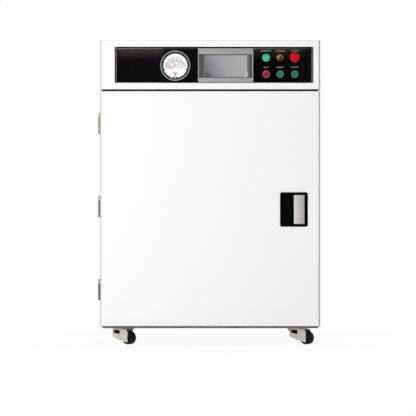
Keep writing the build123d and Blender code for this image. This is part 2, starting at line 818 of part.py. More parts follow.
emergency_x, emergency_z = controls["emergency"]
collar_front_y = skin_back_y - emergency_collar_stand
head_back_y = collar_front_y - emergency_travel - 2 * cap_clearance
head_front_y = head_back_y - emergency_head_height
with BuildPart() as emergency_collar:
    disc(emergency_x, emergency_z, emergency_collar_radius, (collar_front_y, skin_back_y))
    disc(emergency_x, emergency_z, barrel_radius, (skin_back_y, block_front_y))
    stem_bore = emergency_stem_radius + cap_clearance
    disc(emergency_x, emergency_z, stem_bore, (collar_front_y, block_front_y), Mode.SUBTRACT)
emergency_collar.part.label = "emergency_collar"
export_step(emergency_collar.part, "parts/emergency_collar.step")

socket_front_y = head_back_y - emergency_head_height / 2
with BuildPart() as emergency_stem:
    stem_y = (head_back_y + cap_clearance, block_front_y - emergency_travel - cap_clearance)
    disc(emergency_x, emergency_z, emergency_stem_radius, stem_y)
    disc(emergency_x, emergency_z, emergency_socket_radius, (socket_front_y, head_back_y + cap_clearance))
emergency_stem.part.label = "emergency_stem"
export_step(emergency_stem.part, "parts/emergency_stem.step")

with BuildPart() as emergency_head:
    disc(emergency_x, emergency_z, emergency_head_radius, (head_front_y, head_back_y))
    fillet(emergency_head.faces().sort_by(Axis.Y)[0].edges(), radius=emergency_head_front_radius)
    fillet(emergency_head.faces().sort_by(Axis.Y)[-1].edges(), radius=emergency_head_back_radius)
    socket_y = (socket_front_y - slip, head_back_y)
    disc(emergency_x, emergency_z, emergency_socket_radius + running, socket_y, Mode.SUBTRACT)
emergency_head.part.label = "emergency_head"
export_step(emergency_head.part, "parts/emergency_head.step")

with BuildPart() as contact_blocks:
    with BuildSketch(facing(block_front_y)):
        with Locations(list(controls.values())):
            Rectangle(block_width, block_width)
    extrude(amount=block_front_y - block_back_y)
contact_blocks.part.label = "contact_blocks"
export_step(contact_blocks.part, "parts/contact_blocks.step")

# ---------------------------------------------------------------- door
with BuildPart() as door_skin:
    block((-half_width, half_width), (front_y, door_back_y), (door_z, door_top_z))
    fillet(door_skin.faces().sort_by(Axis.Y)[0].edges(), radius=door_edge_radius)
    offset(amount=-sheet, openings=door_skin.faces().sort_by(Axis.Y)[-1])
    dish_window = (tub_width + 2 * slip, tub_height + 2 * slip)
    rounded_slab(dish_x, dish_z, dish_window, dish_corner - dish_lap, (front_y, skin_back_y), Mode.SUBTRACT)
door_skin.part.label = "door_skin"
export_step(door_skin.part, "parts/door_skin.step")

inside_x = wall_x - slip
inside_z = (door_z + sheet + slip, door_top_z - sheet - slip)
keeper_half = keeper_height / 2 + keeper_slot_margin
keeper_slot_x = (keeper_x - keeper_slot_margin, keeper_x + keeper_thickness + keeper_slot_margin)
keeper_slot_z = (dish_z - keeper_half, dish_z + keeper_half)
guide_half = bolt_height / 2 + slip + guide_wall
with BuildPart() as door_insulation:
    block((-inside_x, inside_x), (skin_back_y, plate_front_y), inside_z)
    dish_edge = tub_height / 2 + bearing_length + slip
    dish_reach = dish_x + tub_width / 2 + slip
    through = (skin_back_y, plate_front_y)
    dish_room_x = (dish_x - tub_width / 2 - slip, dish_reach)
    block(dish_room_x, through, (dish_z - dish_edge, dish_z + dish_edge), Mode.SUBTRACT)
    block((dish_reach, keeper_slot_x[1]), through, keeper_slot_z, Mode.SUBTRACT)
    corner_edges = door_insulation.faces().sort_by(Axis.Y)[0].outer_wire().edges()
    fillet(corner_edges, radius=door_edge_radius - sheet)
door_insulation.part.label = "door_insulation"
export_step(door_insulation.part, "parts/door_insulation.step")

pad_size = (chamber_width - 2 * pad_margin, chamber_height - 2 * pad_margin)
seal_outer = (flange_size[0] - 2 * seal_inset, flange_size[1] - 2 * seal_inset)
seal_inner = (seal_outer[0] - 2 * seal_width, seal_outer[1] - 2 * seal_width)
groove_y = door_back_y - seal_groove
with BuildPart() as door_plate:
    block((-inside_x, inside_x), (plate_front_y, door_back_y), inside_z)
    rounded_slab(0, chamber_z, pad_size, chamber_corner, (door_back_y, door_back_y + pad_rise))
    fillet(door_plate.faces().sort_by(Axis.Y)[-1].edges(), radius=pad_wall / 2)
    pad_hollow = (pad_size[0] - 2 * pad_wall, pad_size[1] - 2 * pad_wall)
    hollow_y = (plate_front_y, door_back_y + pad_rise - pad_wall)
    rounded_slab(0, chamber_z, pad_hollow, chamber_corner - pad_wall, hollow_y, Mode.SUBTRACT)
    groove_outer = (seal_outer[0] + 2 * slip, seal_outer[1] + 2 * slip)
    groove_inner = (seal_inner[0] - 2 * slip, seal_inner[1] - 2 * slip)
    with BuildSketch(facing(groove_y)):
        with Locations((0, chamber_z)):
            RectangleRounded(groove_outer[0], groove_outer[1], chamber_corner + slip)
            RectangleRounded(groove_inner[0], groove_inner[1], chamber_corner - slip, mode=Mode.SUBTRACT)
    extrude(amount=-seal_groove, mode=Mode.SUBTRACT)
    block(keeper_slot_x, (plate_front_y, door_back_y), keeper_slot_z, Mode.SUBTRACT)
door_plate.part.label = "door_plate"
export_step(door_plate.part, "parts/door_plate.step")

with BuildPart() as door_seal:
    with BuildSketch(facing(groove_y)):
        with Locations((0, chamber_z)):
            RectangleRounded(seal_outer[0], seal_outer[1], chamber_corner)
            RectangleRounded(seal_inner[0], seal_inner[1], chamber_corner, mode=Mode.SUBTRACT)
    extrude(amount=groove_y - frame_y + seal_squeeze)
    fillet(door_seal.faces().sort_by(Axis.Y)[-1].edges(), radius=seal_groove / 2)
door_seal.part.label = "door_seal"
export_step(door_seal.part, "parts/door_seal.step")

# latch: a paddle on two trunnions swings in a dish and draws the bolt by a crank arm
arm_half = arm_thickness / 2
turned = radians(paddle_angle)
sweep_x = (floor_back_y - pivot_y) * tan(turned) + arm_half / cos(turned)
arm_slot_x = (pivot_x - sweep_x - 2 * slip, pivot_x + arm_half + 2 * slip)
with BuildPart() as latch_dish:
    rounded_slab(dish_x, dish_z, (dish_width, dish_height), dish_corner, (front_y - dish_stand, front_y))
    tub_corner = dish_corner - dish_lap - slip
    rounded_slab(dish_x, dish_z, (tub_width, tub_height), tub_corner, (front_y, floor_back_y))
    for side in (-1, 1):
        bearing_z = sorted((dish_z + side * (tub_height / 2 - dish_wall), dish_z + side * bearing_top))
        bearing_x = (pivot_x - bearing_size / 2, pivot_x + bearing_size / 2)
        block(bearing_x, (skin_back_y, skin_back_y + bearing_size), bearing_z)
    guide_x = (bolt_start_x - bolt_travel, dish_x + tub_width / 2)
    guide_y = (floor_back_y, bolt_back_y + slip + guide_wall)
    block(guide_x, guide_y, (dish_z - guide_half, dish_z + guide_half))
    hollow = (tub_width - 2 * dish_wall, tub_height - 2 * dish_wall)
    hollow_y = (front_y - dish_stand, floor_front_y)
    rounded_slab(dish_x, dish_z, hollow, tub_corner - dish_wall, hollow_y, Mode.SUBTRACT)
    bolt_room_z = (dish_z - bolt_height / 2 - slip, dish_z + bolt_height / 2 + slip)
    block(guide_x, (floor_back_y, bolt_back_y + slip), bolt_room_z, Mode.SUBTRACT)
    arm_slot_z = (dish_z - arm_height / 2 - slip, dish_z + arm_height / 2 + slip)
    block(arm_slot_x, (floor_front_y, floor_back_y), arm_slot_z, Mode.SUBTRACT)
    bearing_span = (dish_z - bearing_top, dish_z + bearing_top)
    pole(pivot_x, pivot_y, trunnion_radius + running, bearing_span, Mode.SUBTRACT)
latch_dish.part.label = "latch_dish"
export_step(latch_dish.part, "parts/latch_dish.step")

paddle_right_x = pivot_x + hub_radius
paddle_front_y = pivot_y - hub_radius - slip
with BuildPart() as latch_paddle:
    block(
        (paddle_right_x - paddle_width, paddle_right_x),
        (paddle_front_y, paddle_front_y + paddle_thickness),
        (dish_z - paddle_height / 2, dish_z + paddle_height / 2),
    )
    chamfer(latch_paddle.faces().sort_by(Axis.Y)[0].edges(), length=paddle_chamfer)
    pole(pivot_x, pivot_y, hub_radius, (dish_z - paddle_height / 2, dish_z + paddle_height / 2))
    pole(pivot_x, pivot_y, trunnion_radius, (dish_z - bearing_top + slip, dish_z + bearing_top - slip))
    arm_z = (dish_z - arm_height / 2, dish_z + arm_height / 2)
    block((pivot_x - arm_half, pivot_x + arm_half), (pivot_y, pivot_y + arm_reach), arm_z)
    pole(pivot_x, pivot_y + arm_reach, arm_half, arm_z)
latch_paddle.part.label = "latch_paddle"
export_step(latch_paddle.part, "parts/latch_paddle.step")

arm_tip_y = (arm_reach + arm_half) * cos(turned)
pocket_left = (arm_tip_y * tan(turned) + arm_half / cos(turned)) - bolt_travel + 2 * slip
pocket_right = bolt_travel - (bolt_front_y - pivot_y) * tan(turned) + arm_half / cos(turned) + 2 * slip
with BuildPart() as latch_bolt:
    bolt_z = (dish_z - bolt_height / 2, dish_z + bolt_height / 2)
    block((bolt_start_x, bolt_tip_x), (bolt_front_y, bolt_back_y), bolt_z)
    chamfer(latch_bolt.faces().sort_by(Axis.X)[-1].edges().filter_by(Axis.Z), length=bolt_chamfer)
    pocket_x = (pivot_x - pocket_left, pivot_x + pocket_right)
    pocket_y = (bolt_front_y, bolt_back_y - bolt_back_wall)
    block(pocket_x, pocket_y, arm_slot_z, Mode.SUBTRACT)
latch_bolt.part.label = "latch_bolt"
export_step(latch_bolt.part, "parts/latch_bolt.step")

with BuildPart() as latch_keeper:
    keeper_z = (dish_z - keeper_height / 2, dish_z + keeper_height / 2)
    block((keeper_x, keeper_x + keeper_thickness), (frame_y - keeper_reach, frame_y), keeper_z)
    foot_x = (keeper_x - keeper_foot, keeper_x + keeper_thickness + keeper_foot)
    block(foot_x, (door_back_y + keeper_foot_gap, frame_y), keeper_z)
    window_y = (bolt_front_y - slip, bolt_back_y + slip)
    block((keeper_x, keeper_x + keeper_thickness), window_y, bolt_room_z, Mode.SUBTRACT)
latch_keeper.part.label = "latch_keeper"
export_step(latch_keeper.part, "parts/latch_keeper.step")


# ---------------------------------------------------------------- hinges
def knuckle_span(level, number):
    """The height range of one knuckle of three, counted from the bottom."""
    start = level - hinge_height / 2 + number * knuckle_height
    return (start + knuckle_play / 2, start + knuckle_height - knuckle_play / 2)


leaf_near = knuckle_radius + slip
leaf_x = (-half_width - hinge_leaf, -half_width)
with BuildPart() as hinge_frame_leaves:
    for level in hinge_levels:
        leaf_z = (level - hinge_height / 2, level + hinge_height / 2)
        block(leaf_x, (hinge_y + leaf_near, hinge_y + hinge_leaf_length), leaf_z)
        for number in (0, 2):
            span = knuckle_span(level, number)
            block(leaf_x, (hinge_y, hinge_y + leaf_near), span)
            pole(hinge_x, hinge_y, knuckle_radius, span)
            pole(hinge_x, hinge_y, hinge_pin_radius + running, span, Mode.SUBTRACT)
hinge_frame_leaves.part.label = "hinge_frame_leaves"
export_step(hinge_frame_leaves.part, "parts/hinge_frame_leaves.step")

with BuildPart() as hinge_door_leaves:
    for level in hinge_levels:
        leaf_z = (level - hinge_height / 2, level + hinge_height / 2)
        block(leaf_x, (hinge_y - hinge_leaf_length, hinge_y - leaf_near), leaf_z)
        span = knuckle_span(level, 1)
        block(leaf_x, (hinge_y - leaf_near, hinge_y), span)
        pole(hinge_x, hinge_y, knuckle_radius, span)
        pole(hinge_x, hinge_y, hinge_pin_radius + running, span, Mode.SUBTRACT)
hinge_door_leaves.part.label = "hinge_door_leaves"
export_step(hinge_door_leaves.part, "parts/hinge_door_leaves.step")

with BuildPart() as hinge_pins:
    for level in hinge_levels:
        top = level + hinge_height / 2
        pole(hinge_x, hinge_y, hinge_pin_radius, (level - hinge_height / 2, top))
        pole(hinge_x, hinge_y, knuckle_radius, (top, top + hinge_pin_head))
hinge_pins.part.label = "hinge_pins"
export_step(hinge_pins.part, "parts/hinge_pins.step")

# ---------------------------------------------------------------- casters
plate_bottom_z = ride_height - caster_plate
raceway_bottom_z = plate_bottom_z - raceway_height
with BuildPart() as caster_plates:
    for x, y, heading in casters.values():
        with BuildSketch(Plane.XY.offset(plate_bottom_z)):
            with Locations((x, y)):
                RectangleRounded(caster_plate_width, caster_plate_depth, caster_plate)
        extrude(amount=caster_plate)
        pole(x, y, raceway_radius, (raceway_bottom_z + slip, plate_bottom_z))
        kingpin_room = (raceway_bottom_z, raceway_bottom_z + kingpin_length + slip)
        pole(x, y, kingpin_radius + running, kingpin_room, Mode.SUBTRACT)
caster_plates.part.label = "caster_plates"
export_step(caster_plates.part, "parts/caster_plates.step")

leg_outline = [
    (-leg_lead, crown_top_z),
    (-leg_lead, leg_lead_bottom),
    (-leg_toe, leg_toe_bottom),
    (leg_sole_end, leg_sole),
    (caster_trail + leg_heel, leg_heel_bottom),
    (caster_trail + leg_heel, leg_heel_top),
    (leg_top_end, crown_top_z),
]
leg_window = [
    (-window_lead, window_lead_bottom),
    (window_trail, window_trail_bottom),
    (window_trail, crown_bottom_z - window_top_gap),
    (-window_lead_top, crown_bottom_z - window_top_gap),
]
for name, (x, y, heading) in casters.items():
    turn = radians(heading)
    along = (cos(turn), sin(turn), 0)
    side_plane = Plane(origin=(x, y, 0), x_dir=along, z_dir=(sin(turn), -cos(turn), 0))
    with BuildPart() as fork:
        with BuildSketch(side_plane):
            Polygon(*leg_outline, align=None)
        extrude(amount=leg_outside, both=True)
        with BuildSketch(side_plane):
            with Locations((-leg_lead + leg_thickness, 0)):
                Rectangle(4 * leg_lead, crown_bottom_z, align=(Align.MIN, Align.MIN))
        extrude(amount=leg_gap, both=True, mode=Mode.SUBTRACT)
        with BuildSketch(side_plane):
            Polygon(*leg_window, align=None)
        extrude(amount=leg_outside, both=True, mode=Mode.SUBTRACT)
        pole(x, y, crown_radius, (crown_bottom_z, crown_top_z))
        pole(x, y, kingpin_radius, (crown_top_z, crown_top_z + kingpin_length))
        with BuildSketch(side_plane):
            with Locations((caster_trail, wheel_radius)):
                Circle(axle_radius + seam)
        extrude(amount=leg_outside, both=True, mode=Mode.SUBTRACT)
        with BuildSketch(side_plane):
            with Locations((caster_trail, wheel_radius)):
                Circle(axle_radius)
        extrude(amount=leg_outside, both=True)
        for face in (1, -1):
            with BuildSketch(side_plane.offset(face * leg_outside)):
                with Locations((caster_trail, wheel_radius)):
                    Circle(axle_head_radius)
            extrude(amount=face * axle_head)
    fork.part.label = "caster_fork_" + name
    export_step(fork.part, f"parts/caster_fork_{name}.step")

    with BuildPart() as wheel:
        with BuildSketch(side_plane):
            with Locations((caster_trail, wheel_radius)):
                Circle(wheel_radius)
        extrude(amount=wheel_width / 2, both=True)
        fillet(wheel.edges(), radius=wheel_edge)
        with BuildSketch(side_plane):
            with Locations((caster_trail, wheel_radius)):
                Circle(axle_radius + running)
        extrude(amount=wheel_width / 2, both=True, mode=Mode.SUBTRACT)
    wheel.part.label = "caster_wheel_" + name
    export_step(wheel.part, f"parts/caster_wheel_{name}.step")
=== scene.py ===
"""Vacuum oven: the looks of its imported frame, laid out as a Blender add-on and run as a script."""

import math

import bmesh
import bpy
from bpy.props import FloatProperty, FloatVectorProperty, IntProperty, PointerProperty, StringProperty
from mathutils import Matrix, Vector


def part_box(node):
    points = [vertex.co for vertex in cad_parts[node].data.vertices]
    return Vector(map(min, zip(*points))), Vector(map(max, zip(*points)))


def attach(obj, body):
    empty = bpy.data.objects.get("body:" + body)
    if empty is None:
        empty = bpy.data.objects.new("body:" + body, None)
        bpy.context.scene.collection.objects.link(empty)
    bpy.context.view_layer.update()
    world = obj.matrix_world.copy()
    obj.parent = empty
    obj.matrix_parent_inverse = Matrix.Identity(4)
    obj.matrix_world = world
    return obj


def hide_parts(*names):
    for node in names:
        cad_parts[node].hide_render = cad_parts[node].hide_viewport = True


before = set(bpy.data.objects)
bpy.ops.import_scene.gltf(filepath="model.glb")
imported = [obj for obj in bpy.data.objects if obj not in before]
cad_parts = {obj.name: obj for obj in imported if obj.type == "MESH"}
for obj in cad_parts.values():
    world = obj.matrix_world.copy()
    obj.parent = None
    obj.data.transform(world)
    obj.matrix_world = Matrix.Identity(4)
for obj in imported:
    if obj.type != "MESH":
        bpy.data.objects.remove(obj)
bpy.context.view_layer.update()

bl_info = {
    "name": "Vacuum oven",
    "version": (1, 0, 0),
    "blender": (4, 5, 0),
    "location": "View3D > Sidebar > Vacuum oven",
    "description": "Dresses the vacuum oven's packed frame with its finishes and fine pieces",
    "category": "Object",
}

MM = 0.001
HINGE_PITCH = 334 * MM
HINGE_FACE_X = -443.4 * MM
LABEL_COLUMNS = (224 * MM, 279.5 * MM, 338 * MM)
PADDLE_PIVOT = (372 * MM, -370 * MM)
PADDLE_HALF = 58.5 * MM
CARD_Y = -9.9
CASTER_HEADINGS = {"front_left": -38, "front_right": -38, "rear_left": 128, "rear_right": 74}
SMOOTH_ANGLE = math.radians(35)
FACE_BACK = (-math.pi / 2, 0.0, 0.0)
FACE_FRONT = (math.pi / 2, 0.0, 0.0)
FACE_LEFT = (0.0, -math.pi / 2, 0.0)
FACE_DOWN = (math.pi, 0.0, 0.0)
UPRIGHT = (1.0, 1.0, 0.03)
UPRIGHT_SOFT = (1.0, 1.0, 0.05)
WHITE = (1.0, 1.0, 1.0, 1.0)
SLOT_OF = {name: node.data.materials[0].name for name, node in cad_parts.items()}
OWN_FINISH = {
    "hinge_frame_leaves": "hinge_nickel",
    "hinge_door_leaves": "hinge_nickel",
    "hinge_pins": "hinge_nickel",
    "gauge_pointer": "pointer_red",
}


# ---------------------------------------------------------------- colours, nodes and meshes
def linear(code):
    """Turns an sRGB hex colour into the linear red, green and blue that Blender works in."""
    parts = [int(code[i : i + 2], 16) / 255 for i in (1, 3, 5)]
    return tuple(c / 12.92 if c <= 0.04045 else ((c + 0.055) / 1.055) ** 2.4 for c in parts)


def opaque(colour):
    """A colour with full alpha, as node sockets take it."""
    return (*colour[:3], 1.0)


def per_mm(size):
    """The texture scale at which one grain of the pattern is this many millimetres across."""
    return 1 / (size * MM)


def add(tree, kind, inputs=None, **settings):
    """Adds a node, with its settings, and with inputs that are either values or sockets to link."""
    node = tree.nodes.new(kind)
    for name, value in settings.items():
        setattr(node, name, value)
    for key, value in (inputs or {}).items():
        if isinstance(value, bpy.types.NodeSocket):
            tree.links.new(value, node.inputs[key])
        else:
            node.inputs[key].default_value = value
    return node


def maths(tree, operation, *values):
    """The result of a sum on values or sockets."""
    return add(tree, "ShaderNodeMath", dict(enumerate(values)), operation=operation).outputs[0]


def vector(tree, **parts):
    """A vector of its X, Y and Z."""
    return add(tree, "ShaderNodeCombineXYZ", parts).outputs[0]


def axes_of(tree, place):
    """The X, Y and Z of a vector."""
    return add(tree, "ShaderNodeSeparateXYZ", {"Vector": place}).outputs


def between(tree, value, low, high, start=0.0, end=1.0):
    """Maps a value from one range onto another, and holds it at the ends."""
    limits = {"Value": value, "From Min": low, "From Max": high, "To Min": start, "To Max": end}
    return add(tree, "ShaderNodeMapRange", limits).outputs["Result"]


def blend(tree, amount, first, second):
    """A colour between two others."""
    return add(tree, "ShaderNodeMix", {0: amount, 6: first, 7: second}, data_type="RGBA").outputs[2]


def shade(tree, colour, pattern, amount):
    """Darkens a colour slightly where the pattern is low."""
    return blend(tree, pattern, opaque([c * (1 - amount) for c in colour[:3]]), opaque(colour))


def tones(tree, value, stops):
    """A colour ramp from (position, hex colour) stops."""
    ramp = add(tree, "ShaderNodeValToRGB", {"Fac": value})
    elements = ramp.color_ramp.elements
    while len(elements) < len(stops):
        elements.new(0.5)
    for element, (position, code) in zip(elements, stops):
        element.position = position
        element.color = opaque(linear(code))
    return ramp.outputs["Color"]


def blank(name, colour, roughness, metallic=0.0, ior=1.5, specular=0.5):
    """A new material with one Principled shader, and the shader and object coordinates to build on."""
    material = bpy.data.materials.new(name)
    material.use_nodes = True
    tree = material.node_tree
    shader = tree.nodes["Principled BSDF"]
    values = {
        "Base Color": opaque(colour),
        "Roughness": roughness,
        "Metallic": metallic,
        "IOR": ior,
        "Specular IOR Level": specular,
    }
    for key, value in values.items():
        shader.inputs[key].default_value = value
    place = add(tree, "ShaderNodeTexCoord").outputs["Object"]
    return material, tree, shader, place


def paint(tree, shader, colour):
    """Links a colour to the shader."""
    tree.links.new(colour, shader.inputs["Base Color"])


def roughen(tree, shader, pattern, low, high):
    """Lets the roughness vary with a pattern."""
    tree.links.new(between(tree, pattern, 0.0, 1.0, low, high), shader.inputs["Roughness"])


def relief(tree, shader, height, depth, strength):
    """Presses a height pattern into the surface, to a depth in millimetres."""
    bump = add(tree, "ShaderNodeBump", {"Height": height, "Distance": depth * MM, "Strength": strength})
    tree.links.new(bump.outputs["Normal"], shader.inputs["Normal"])


def grain(tree, place, size, detail=2.0, distortion=0.0):
    """Cloudy noise with grains of a size in millimetres."""
    inputs = {"Vector": place, "Scale": per_mm(size), "Detail": detail, "Distortion": distortion}
    return add(tree, "ShaderNodeTexNoise", inputs).outputs["Fac"]


def brushing(tree, place, stretch, size):
    """Fine parallel scratches: noise that is drawn out along one axis by the stretch vector."""
    drawn = add(tree, "ShaderNodeMapping", {"Vector": place, "Scale": stretch}).outputs["Vector"]
    return grain(tree, drawn, size, 3.0)


def facets(tree, place, size):
    """Flat cells of a size in millimetres, each with its own grey."""
    cells = add(tree, "ShaderNodeTexVoronoi", {"Vector": place, "Scale": per_mm(size)}).outputs["Color"]
    return add(tree, "ShaderNodeRGBToBW", {"Color": cells}).outputs[0]


def weave(tree, place, size):
    """Checked cloth with a thread every so many millimetres."""
    return add(tree, "ShaderNodeTexChecker", {"Vector": place, "Scale": per_mm(size)}).outputs["Fac"]


def box_into(shape, low, high, rounding=0.0, steps=2):
    """Adds a box between two corners to a mesh in the making, with its edges rounded."""
    made = bmesh.ops.create_cube(shape, size=1.0)["verts"]
    for vertex in made:
        vertex.co = Vector([low[i] + (vertex.co[i] + 0.5) * (high[i] - low[i]) for i in range(3)])
    if rounding:
        # each edge once, in the order that it is met
        edges = list(dict.fromkeys(edge for vertex in made for edge in vertex.link_edges))
        bmesh.ops.bevel(shape, geom=edges, offset=rounding, segments=steps, profile=0.5, affect="EDGES")


def turn_into(shape, profile, place, steps=64, loop=False, bands=None):
    """Adds a turned form: (radius, depth) pairs in millimetres, spun round the Y axis of a place matrix."""
    rings = []
    for radius, depth in profile:
        if radius == 0:
            rings.append([shape.verts.new(place @ Vector((0, depth * MM, 0)))])
            continue
        ring = []
        for step in range(steps):
            angle = 2 * math.pi * step / steps
            spot = Vector((math.cos(angle) * radius * MM, depth * MM, math.sin(angle) * radius * MM))
            ring.append(shape.verts.new(place @ spot))
        rings.append(ring)
    pairs = list(zip(rings, rings[1:]))
    if loop:
        pairs.append((rings[-1], rings[0]))
    for number, (first, second) in enumerate(pairs):
        for step in range(steps):
            after = (step + 1) % steps
            if len(first) == 1 and len(second) == 1:
                continue
            if len(first) == 1:
                corners = (first[0], second[step], second[after])
            elif len(second) == 1:
                corners = (first[step], second[0], first[after])
            else:
                corners = (first[step], second[step], second[after], first[after])
            face = shape.faces.new(corners)
            face.material_index = bands[number] if bands else 0


def prism_into(shape, outline, low, high, rounding=0.0):
    """Adds an upright slab along Y from an outline of (x, z) points, between two depths."""
    front = [shape.verts.new((x, low, z)) for x, z in outline]
    back = [shape.verts.new((x, high, z)) for x, z in outline]
    faces = [shape.faces.new(front), shape.faces.new(list(reversed(back)))]
    for number in range(len(outline)):
        after = (number + 1) % len(outline)
        faces.append(shape.faces.new((front[after], front[number], back[number], back[after])))
    if rounding:
        edges = list(faces[0].edges)
        bmesh.ops.bevel(shape, geom=edges, offset=rounding, segments=2, profile=0.5, affect="EDGES")


def piece(name, shape, slot, finishes=(), body="cabinet", replaces=()):
    """Turns a finished shape into an object that rides on a CAD body, with its faces pointing outwards."""
    bmesh.ops.remove_doubles(shape, verts=shape.verts, dist=1e-6)
    bmesh.ops.recalc_face_normals(shape, faces=shape.faces)
    mesh = bpy.data.meshes.new(name)
    shape.to_mesh(mesh)
    shape.free()
    mesh.shade_smooth()
    mesh.set_sharp_from_angle(angle=SMOOTH_ANGLE)
    item = bpy.data.objects.new(name, mesh)
    bpy.context.scene.collection.objects.link(item)
    settle(item, finishes or (slot,), body, replaces)


def settle(item, finishes, body, replaces=()):
    """Gives an object its materials and body, and hides the CAD nodes it stands for."""
    for finish_name in finishes:
        item.data.materials.append(finish(finish_name))
    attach(item, body)
    if replaces:
        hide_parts(*replaces)


def middle(node):
    """The centre of a CAD node, its lowest and its highest corner, in metres."""
    low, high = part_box(node)
    return (low + high) / 2, low, high


def round_node(node):
    """The place matrix, radius, front and back in millimetres of a round CAD node that faces forwards."""
    centre, low, high = middle(node)
    return Matrix.Translation((centre.x, 0, centre.z)), (high.x - low.x) / 2 / MM, low.y / MM, high.y / MM


def lettering(name, words, ink, slot, depth=0.15, apart=1.0):
    """Flat printed words: (text, size in mm, x, y, z, turn) each, standing upright and read from the front."""
    shape = bmesh.new()
    for text, size, x, y, z, turn in words:
        curve = bpy.data.curves.new(name, "FONT")
        curve.body = text
        curve.size = size * MM
        curve.align_x = "CENTER"
        curve.align_y = "CENTER"
        curve.space_character = apart
        curve.extrude = depth * MM / 2
        writer = bpy.data.objects.new(name + "_text", curve)
        bpy.context.scene.collection.objects.link(writer)
        graph = bpy.context.evaluated_depsgraph_get()
        mesh = bpy.data.meshes.new_from_object(writer.evaluated_get(graph))
        stand = Matrix.Translation((x, y, z)) @ Matrix.Rotation(turn, 4, "Y") @ Matrix.Rotation(math.pi / 2, 4, "X")
        mesh.transform(stand)
        shape.from_mesh(mesh)
        bpy.data.objects.remove(writer)
        bpy.data.curves.remove(curve)
        bpy.data.meshes.remove(mesh)
    piece(name, shape, slot, [ink])


# ---------------------------------------------------------------- geometry trees for what repeats
def new_tree(name, **sockets):
    """An empty geometry tree with inputs named by kind and a finish, and its input sockets."""
    tree = bpy.data.node_groups.new(name, "GeometryNodeTree")
    tree.interface.new_socket("Geometry", in_out="INPUT", socket_type="NodeSocketGeometry")
    for kind, labels in {**sockets, "Material": ("Finish",)}.items():
        for label in labels:
            tree.interface.new_socket(label, in_out="INPUT", socket_type="NodeSocket" + kind)
    tree.interface.new_socket("Geometry", in_out="OUTPUT", socket_type="NodeSocketGeometry")
    return tree, add(tree, "NodeGroupInput").outputs


def close_tree(tree, points, shape, given, facing=(0.0, 0.0, 0.0)):
    """Ends a tree: the shapes on its points become real faces and take their finish."""
    spots = {"Points": points, "Instance": shape, "Rotation": facing}
    instances = add(tree, "GeometryNodeInstanceOnPoints", spots).outputs[0]
    real = add(tree, "GeometryNodeRealizeInstances", {"Geometry": instances})
    last = add(tree, "GeometryNodeSetMaterial", {"Geometry": real.outputs[0], "Material": given["Finish"]})
    add(tree, "NodeGroupOutput", {"Geometry": last.outputs[0]})
    return tree


def screw_tree():
    """Screw heads on the points of a mesh: a low chamfered head, turned to face outwards."""
    tree, given = new_tree("screw heads", Float=("Head radius", "Head height"), Int=("Sides",), Rotation=("Facing",))
    head = {
        "Vertices": given["Sides"],
        "Radius Top": maths(tree, "MULTIPLY", given["Head radius"], 0.78),
        "Radius Bottom": given["Head radius"],
        "Depth": given["Head height"],
    }
    head = add(tree, "GeometryNodeMeshCone", head).outputs["Mesh"]
    return close_tree(tree, given["Geometry"], head, given, given["Facing"])


def recess_tree():
    """Cross recesses on the points of a mesh, pressed a little into the screw heads below them."""
    tree, given = new_tree("screw recesses", Float=("Length", "Width"), Rotation=("Facing",))
    cross = add(tree, "GeometryNodeJoinGeometry")
    for x, y in (("Length", "Width"), ("Width", "Length")):
        size = vector(tree, X=given[x], Y=given[y], Z=0.2 * MM)
        bar = add(tree, "GeometryNodeMeshCube", {"Size": size}).outputs["Mesh"]
        tree.links.new(bar, cross.inputs[0])
    return close_tree(tree, given["Geometry"], cross.outputs[0], given, given["Facing"])


def tick_tree():
    """Scale marks along an arc that stands upright, each mark pointing at the arc's centre."""
    lengths = ("Start", "Sweep", "Radius", "Mark length", "Mark width")
    tree, given = new_tree("dial marks", Int=("Count",), Float=lengths)
    row = add(tree, "GeometryNodeMeshLine", {"Count": given["Count"], "Offset": (0.0, 0.0, 0.0)}).outputs[0]
    number = add(tree, "GeometryNodeInputIndex").outputs[0]
    share = maths(tree, "DIVIDE", number, maths(tree, "SUBTRACT", given["Count"], 1.0))
    angle = maths(tree, "SUBTRACT", given["Start"], maths(tree, "MULTIPLY", share, given["Sweep"]))
    ray = vector(tree, X=maths(tree, "COSINE", angle), Z=maths(tree, "SINE", angle))
    spot = add(tree, "ShaderNodeVectorMath", {0: ray, "Scale": given["Radius"]}, operation="SCALE").outputs[0]
    arc = add(tree, "GeometryNodeSetPosition", {"Geometry": row, "Position": spot}).outputs[0]
    size = vector(tree, X=given["Mark length"], Y=0.1 * MM, Z=given["Mark width"])
    mark = add(tree, "GeometryNodeMeshCube", {"Size": size}).outputs["Mesh"]
    tilt = vector(tree, Y=maths(tree, "MULTIPLY", angle, -1.0))
    turn = add(tree, "FunctionNodeEulerToRotation", {0: tilt}).outputs[0]
    return close_tree(tree, arc, mark, given, turn)


def louvre_tree():
    """Pressed louvre hoods in columns and rows, each a half-round rib over its slot."""
    lengths = ("Width", "Height", "Hood length", "Hood radius", "Hood depth")
    tree, given = new_tree("louvre hoods", Int=("Columns", "Rows"), Float=lengths)
    grid = {
        "Size X": given["Width"],
        "Size Y": given["Height"],
        "Vertices X": given["Columns"],
        "Vertices Y": given["Rows"],
    }
    grid = add(tree, "GeometryNodeMeshGrid", grid).outputs["Mesh"]
    upright = add(tree, "GeometryNodeTransform", {"Geometry": grid, "Rotation": (math.pi / 2, 0.0, 0.0)}).outputs[0]
    rib = {"Vertices": 20, "Radius": 1.0, "Depth": given["Hood length"]}
    rib = add(tree, "GeometryNodeMeshCylinder", rib).outputs["Mesh"]
    lying = add(tree, "GeometryNodeTransform", {"Geometry": rib, "Rotation": (0.0, math.pi / 2, 0.0)}).outputs[0]
    flat = vector(tree, X=1.0, Y=given["Hood depth"], Z=given["Hood radius"])
    hood = add(tree, "GeometryNodeTransform", {"Geometry": lying, "Scale": flat}).outputs[0]
    return close_tree(tree, upright, hood, given)


